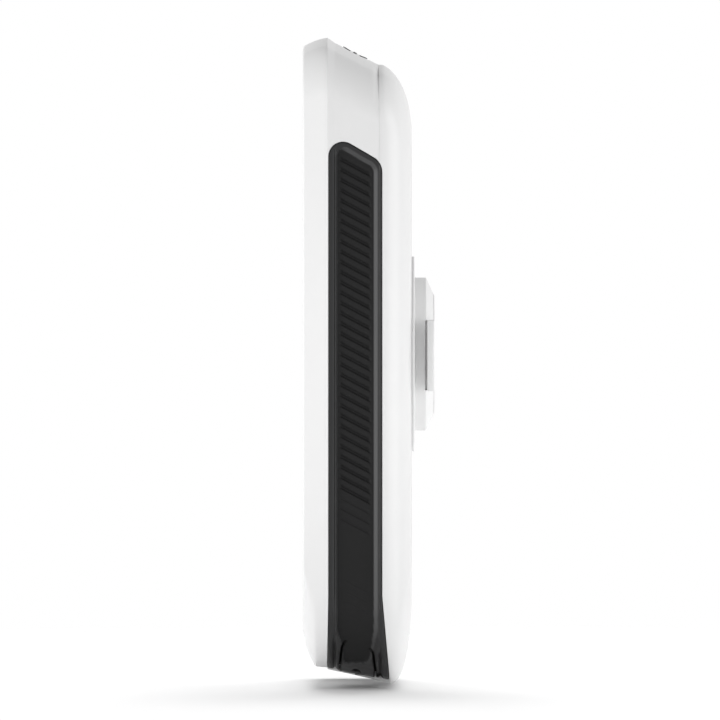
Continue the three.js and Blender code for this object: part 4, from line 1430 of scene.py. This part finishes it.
class BuildPowerKey(bpy.types.Operator):
    """Crowned power key on the top slope, with a ring and bar mark."""

    bl_idname = "computer.power_key"
    bl_label = "Power key"

    def execute(self, context):
        half_width, half_depth, skirt, edge_round = POWER_WIDTH / 2, POWER_DEPTH / 2, 0.1, 0.25
        near_edge = 0.3 * (1 - np.cos(np.linspace(0, math.pi / 2, 6)))
        between = np.linspace(0.5, POWER_DEPTH - 0.5, 15)
        v = np.concatenate([near_edge, between, POWER_DEPTH - near_edge[::-1]])
        v = np.unique(np.round(v, 4)) - half_depth
        beyond = half_width + skirt
        crown = []
        for u in (*np.linspace(beyond, 2.8, 6), *np.linspace(2.7, -2.7, 28), *np.linspace(-2.8, -beyond, 6)):
            edge = np.minimum(half_depth - np.abs(v), half_width - abs(u))
            ring = np.column_stack([v, dome(u) - rounding(edge, edge_round)])[::-1]
            crown.append(at_x(np.vstack([[v[0], -1.0], [v[-1], -1.0], ring]), u))
        key = on_slope("power_key_cap", crown)
        carve(key, on_slope("key side", [power_ring(1.0), power_ring(-1.5)]), "INTERSECT")
        flange = ((-0.85, 0.0), (-2.87, 0.0), (-2.87, 0.6), (-3.37, 0.6))
        carve(key, on_slope("flange", [power_ring(w, grow) for w, grow in flange]), "UNION")
        stem = rounded_rectangle(1.8, 1.8, 0.4)
        carve(key, on_slope("stem", [at_z(stem, w) for w in (-3.2, -4.42)]), "UNION")
        polish(key, 40)
        dress(key, "power_button", "white_case", "power_key")

        proud, thickness, half_stroke = 0.09, 0.25, 0.3
        along = np.linspace(0.1, 2.3, 12)
        bar = np.vstack([np.column_stack([along, np.full(12, -half_stroke)]),
                         np.column_stack([along[::-1], np.full(12, half_stroke)])])
        pieces = []
        for outline in (stroke_ring(1.95, 0.46, 28, 332, 64), bar):
            ring = anticlockwise(outline)
            face = np.column_stack([ring, dome(ring[:, 0]) + proud])
            pieces.append(on_slope("mark", [face, face - [0, 0, thickness]]))
        mark = joined("power_key_mark", pieces)
        polish(mark)
        dress(mark, "power_button", "switch_black", finish="icon_black")
        return {"FINISHED"}


# ------------------------------------------------------------------ mount and screws
class BuildMount(bpy.types.Operator):
    """Quarter-turn mount: thin flange, chamfered boss and two ears."""

    bl_idname = "computer.mount"
    bl_label = "Quarter-turn mount"

    def execute(self, context):
        edge = context.scene.computer_mount.edge / MM
        disc_radius, disc_face = MOUNT_HIGH[0], -3.2
        boss, chamfer, rise = 12.45, 1.3, 2.8
        face = MOUNT_HIGH[1]
        profile = [(disc_radius - 0.1, MOUNT_LOW[1]), (disc_radius, disc_face - 0.16),
                   (disc_radius - 0.05, disc_face - 0.05), (disc_radius - 0.18, disc_face),
                   (boss + 0.25, disc_face), (boss + 0.07, disc_face + 0.07), (boss, disc_face + 0.25)]
        slope = math.atan2(rise, chamfer)
        chamfer_start = face - chamfer - edge * math.tan(slope / 2)
        for a in np.linspace(0, slope, 5):
            profile.append((boss - edge * (1 - math.cos(a)), chamfer_start + edge * math.sin(a)))
        for a in np.linspace(slope, math.pi / 2, 5):
            profile.append((boss - rise - edge * 0.2 + edge * (math.cos(slope) - math.cos(a)),
                            face - edge * (1 - math.sin(a))))
        body = turned("mount_insert_body", profile, steps=128)

        ear_radius, ear_half, ear_thick = 15.3, 5.7, 1.15

        def ears(grow):
            radius, half = ear_radius + grow, ear_half + grow
            a = math.asin(half / radius)
            right = [(radius * math.cos(t), radius * math.sin(t)) for t in np.linspace(-a, a, 25)]
            left = [(-u, -v) for u, v in right]
            return np.array(right + left)

        carve(body, block("ears", ears, eased(face - ear_thick, face, 0.18, edge)), "UNION")
        relief_radius, relief_top = 20.0, face - ear_thick
        relief_profile = [(relief_radius, relief_top - 0.34), (relief_radius, relief_top)]
        relief = turned("relief", relief_profile, steps=96)
        core = turned("core", [(boss - 0.6, face - 3), (boss - 0.6, face)], steps=96)
        carve(relief, core)
        band = block("band", rectangle_of(44, 2 * ear_half - 0.1, 0.1), [(face - 3, 0), (face, 0)])
        carve(relief, band, "INTERSECT")
        carve(body, relief)
        dish = turned("dish", [(5.0, face - 0.25), (5.1, face - 0.2), (5.4, face + 0.1)], steps=96)
        carve(body, dish)
        groove_outer, groove_inner, groove_floor, bore = 10.6, 9.6, -3.3, 0.76
        seal_groove = turned("groove", [(groove_outer, MOUNT_LOW[1] - 0.5), (groove_outer, groove_floor)])
        carve(seal_groove, turned("island", [(groove_inner, MOUNT_LOW[1] - 1), (groove_inner, -3.0)]))
        carve(body, seal_groove)
        for x, z in screw_places("mount_screw"):
            carve(body, turned("bore", [(bore, -5.0), (bore, -1.2)], (x, z), 24))
        polish(body, 24)
        dress(body, "case", "mount_plastic", "mount_insert")
        return {"FINISHED"}


def six_lobe(radius, depth, steps=72):
    """Outline of a six-lobe socket."""
    a = np.linspace(0, 2 * math.pi, steps, endpoint=False)
    r = radius - depth * (0.5 - 0.5 * np.cos(6 * a)) ** 0.8
    return np.column_stack([r * np.cos(a), r * np.sin(a)])


class BuildCaseScrews(bpy.types.Operator):
    """Four case screws with six-lobe sockets, in their pockets on the back."""

    bl_idname = "computer.case_screws"
    bl_label = "Case screws"

    def execute(self, context):
        for i, (x, z) in enumerate(screw_places("case_screw"), start=1):
            low, high = node_box(f"case_screw_{i}")
            head, head_radius, shank_radius = high[1] - 1.05, 1.6, 0.8
            crown = [(head_radius * math.cos(a), head + 0.45 + 0.55 * math.sin(a))
                     for a in np.radians([0, 20, 40, 60, 75])]
            profile = [(0.3, low[1]), (shank_radius, low[1] + 0.35), (shank_radius, head),
                       (head_radius, head), (head_radius, head + 0.3), *crown, (0.25, high[1] - 0.02)]
            screw = turned(f"case_screw_{i}_steel", profile, (x, z), 64)
            carve(screw, block("socket", lambda grow: six_lobe(0.85 + grow, 0.22),
                               [(high[1] - 0.75, 0), (high[1] + 1, 0)], x=x, z=z))
            polish(screw, 25)
            dress(screw, "case", "steel", f"case_screw_{i}")
        return {"FINISHED"}


class BuildPort(bpy.types.Operator):
    """USB connector under the weather cap: a rounded metal shell and its tongue with contacts."""

    bl_idname = "computer.port"
    bl_label = "USB port"

    def execute(self, context):
        low, high = node_box("usb_connector")
        x, y = (low[0] + high[0]) / 2, (low[1] + high[1]) / 2
        width, depth = high[0] - low[0], high[1] - low[1]

        def tube(name, w, d, radius, levels):
            return lofted(name, [
                at_z(rounded_rectangle(w + 2 * grow, d + 2 * grow, max(radius + grow, 0.05)), z, x, y)
                for z, grow in levels])

        shell = tube("usb_shell", width, depth, 0.9, [(high[2], 0), (low[2] + 0.1, 0), (low[2], -0.06)])
        carve(shell, tube("mouth", width - 0.5, depth - 0.5, 0.75, [(high[2] - 0.6, 0), (low[2] - 1, 0)]))
        polish(shell)
        dress(shell, "case", "steel", "usb_connector")
        levels = [(high[2] - 0.3, 0), (low[2] + 0.7, 0), (low[2] + 0.6, -0.1)]
        tongue = tube("usb_tongue", width - 2.4, 0.7, 0.2, levels)
        polish(tongue)
        dress(tongue, "case", "switch_black", finish="port_black")
        contact, pitch = rounded_rectangle(0.26, 0.78, 0.06, 3), 0.5
        ends = (high[2] - 0.5, low[2] + 1.2)
        contacts = [lofted("contact", [at_z(contact, z, x + (i - 3.5) * pitch, y) for z in ends])
                    for i in range(8)]
        strip = joined("usb_contacts", contacts)
        polish(strip)
        dress(strip, "case", "brass")
        return {"FINISHED"}


# ------------------------------------------------------------------ inner pieces
class DressInnerPieces(bpy.types.Operator):
    """Gives every frame node that keeps its own shape the finish of its slot."""

    bl_idname = "computer.inner_pieces"
    bl_label = "Inner pieces"

    def execute(self, context):
        slots = {entry["node"]: entry["material_slot"] for entry in frame["record"]["subparts"]}
        for name, node in frame["nodes"].items():
            if node.hide_render:
                continue
            if name not in slots:
                raise RuntimeError(f"{name} has no material slot")
            node.data.materials.clear()
            node.data.materials.append(material_for(slots[name]))
        return {"FINISHED"}


# ------------------------------------------------------------------ stage
def area_light(name, power, size, place, target):
    """A soft square light that faces a point."""
    data = bpy.data.lights.new(name, "AREA")
    data.shape = "SQUARE"
    data.size = size
    data.energy = power
    light = bpy.data.objects.new(name, data)
    bpy.context.scene.collection.objects.link(light)
    light.location = place
    direction = Vector(target) - Vector(place)
    light.rotation_euler = direction.to_track_quat("-Z", "Y").to_euler()
    return light


# Brightness of the surroundings from straight below, at 0, to straight above, at 1.
SKY_LEVELS = ((0.0, 0.30), (0.3, 0.38), (0.40, 0.93), (0.60, 0.93), (0.72, 0.66), (1.0, 0.34))


def studio_world():
    """White surroundings, brightest at the horizon and dimmer overhead and underneath."""
    world = bpy.data.worlds.new("white studio")
    world.use_nodes = True
    tree = world.node_tree
    tree.nodes.clear()
    place = tree.nodes.new("ShaderNodeTexCoord")
    split = tree.nodes.new("ShaderNodeSeparateXYZ")
    tree.links.new(place.outputs["Generated"], split.inputs["Vector"])
    ramp = tree.nodes.new("ShaderNodeValToRGB")
    elements = ramp.color_ramp.elements
    while len(elements) < len(SKY_LEVELS):
        elements.new(0.5)
    for element, (position, level) in zip(elements, SKY_LEVELS):
        element.position = position
        element.color = (level, level, level, 1)
    height = math_node(tree, "ADD", math_node(tree, "MULTIPLY", split.outputs["Z"], 0.5), 0.5)
    tree.links.new(height, ramp.inputs["Fac"])
    soft = tree.nodes.new("ShaderNodeBackground")
    tree.links.new(ramp.outputs["Color"], soft.inputs["Color"])
    soft.inputs["Strength"].default_value = 1.0
    plain = tree.nodes.new("ShaderNodeBackground")
    plain.inputs["Color"].default_value = (1, 1, 1, 1)
    seen = tree.nodes.new("ShaderNodeLightPath")
    mix = tree.nodes.new("ShaderNodeMixShader")
    out = tree.nodes.new("ShaderNodeOutputWorld")
    tree.links.new(seen.outputs["Is Camera Ray"], mix.inputs["Fac"])
    tree.links.new(soft.outputs["Background"], mix.inputs[1])
    tree.links.new(plain.outputs["Background"], mix.inputs[2])
    tree.links.new(mix.outputs["Shader"], out.inputs["Surface"])
    bpy.context.scene.world = world


def floor_material():
    """Matt white studio floor that fades out away from the case."""
    material = bpy.data.materials.new("studio floor")
    material.use_nodes = True
    tree = material.node_tree
    shader = tree.nodes["Principled BSDF"]
    place = tree.nodes.new("ShaderNodeTexCoord")
    length = tree.nodes.new("ShaderNodeVectorMath")
    length.operation = "LENGTH"
    tree.links.new(place.outputs["Object"], length.inputs[0])
    fade = tree.nodes.new("ShaderNodeMapRange")
    fade.interpolation_type = "SMOOTHSTEP"
    fade.inputs["From Min"].default_value = 0.10
    fade.inputs["From Max"].default_value = 0.26
    fade.inputs["To Min"].default_value = 1.0
    fade.inputs["To Max"].default_value = 0.0
    tree.links.new(length.outputs["Value"], fade.inputs["Value"])
    tree.links.new(fade.outputs["Result"], shader.inputs["Alpha"])
    shader.inputs["Base Color"].default_value = (0.92, 0.92, 0.92, 1)
    shader.inputs["Roughness"].default_value = 0.9
    shader.inputs["Specular IOR Level"].default_value = 0.1
    return material


# Name, power in watts, size in metres and place of each soft light that is aimed at the case.
SOFTBOXES = (
    ("left softbox", 9.5, 1.1, (0.28, -1.58, 0.1)),
    ("front left softbox", 4.0, 0.9, (1.10, -1.10, -0.2)),
    ("right softbox", 9.0, 1.1, (0.28, 1.58, 0.1)),
)


class BuildStage(bpy.types.Operator):
    """Pale floor, soft lights and the camera."""

    bl_idname = "computer.stage"
    bl_label = "Stage"

    def execute(self, context):
        scene = context.scene
        stage = scene.computer_stage
        middle = (Vector(CAD_BOUNDS[0]) + Vector(CAD_BOUNDS[1])) / 2
        floor_gap, aim_forward, aim_up = 0.0003, 0.0014, 0.00002
        floor_z = CAD_BOUNDS[0][2] - floor_gap
        mesh = bpy.data.meshes.new("floor")
        reach = 0.3
        corners = [(-reach, -reach), (reach, -reach), (reach, reach), (-reach, reach)]
        mesh.from_pydata([(*corner, floor_z) for corner in corners], [], [(0, 1, 2, 3)])
        mesh.materials.append(floor_material())
        floor = bpy.data.objects.new("floor", mesh)
        scene.collection.objects.link(floor)

        studio_world()
        aim = (0, middle.y, middle.z)
        for name, power, size, place in SOFTBOXES:
            area_light(name, power, size, place, aim)
        overhead = area_light("floor light", 24.0, 1.1, (-0.95, 0, 1.55), (0.05, 0, floor_z))
        receivers = bpy.data.collections.new("lit by the floor light")
        receivers.objects.link(floor)
        overhead.light_linking.receiver_collection = receivers

        camera_data = bpy.data.cameras.new("camera")
        camera = bpy.data.objects.new("camera", camera_data)
        scene.collection.objects.link(camera)
        target = Vector((0, middle.y - aim_forward, middle.z + aim_up))
        camera.location = target + Vector((stage.distance, 0, stage.height))
        view = target - camera.location
        camera.rotation_euler = view.to_track_quat("-Z", "Y").to_euler()
        camera_data.sensor_width = 36
        camera_data.lens = camera_data.sensor_width * view.length / stage.frame_width
        camera_data.clip_start, camera_data.clip_end = 0.01, 50
        scene.camera = camera
        scene.view_settings.view_transform = "Standard"
        return {"FINISHED"}


# ------------------------------------------------------------------ add-on
SETTINGS = {
    "computer_case": CaseSettings,
    "computer_grip": GripSettings,
    "computer_mount": MountSettings,
    "computer_stage": StageSettings,
}
STEPS = [BuildStage, BuildFrontFrame, BuildCentreFrame, BuildRearHousing, BuildGrips, BuildCoverLens,
         BuildFrontKeys, BuildPowerKey, BuildMount, BuildCaseScrews, BuildPort, DressInnerPieces]


class ComputerPanel(bpy.types.Panel):
    """Lists the settings and the pieces."""

    bl_idname = "VIEW3D_PT_computer"
    bl_label = "Cycling computer"
    bl_space_type = "VIEW_3D"
    bl_region_type = "UI"
    bl_category = "Computer"

    def draw(self, context):
        for name, settings in SETTINGS.items():
            part = self.layout.box()
            part.label(text=settings.__doc__)
            for key in settings.__annotations__:
                part.prop(getattr(context.scene, name), key)
        for step in STEPS:
            self.layout.operator(step.bl_idname)


def register():
    """Registers the settings, the operators and the panel."""
    for settings in SETTINGS.values():
        bpy.utils.register_class(settings)
    for name, settings in SETTINGS.items():
        setattr(bpy.types.Scene, name, bpy.props.PointerProperty(type=settings))
    for item in [*STEPS, ComputerPanel]:
        bpy.utils.register_class(item)


def unregister():
    """Takes away what register added."""
    for item in reversed([*STEPS, ComputerPanel]):
        bpy.utils.unregister_class(item)
    for name, settings in SETTINGS.items():
        delattr(bpy.types.Scene, name)
        bpy.utils.unregister_class(settings)


def run_step(step):
    """Calls one step through its operator."""
    group, name = step.bl_idname.split(".")
    getattr(getattr(bpy.ops, group), name)()


def main():
    """Builds everything in order."""
    register()
    for step in STEPS:
        run_step(step)


if __name__ == "__main__":
    main()
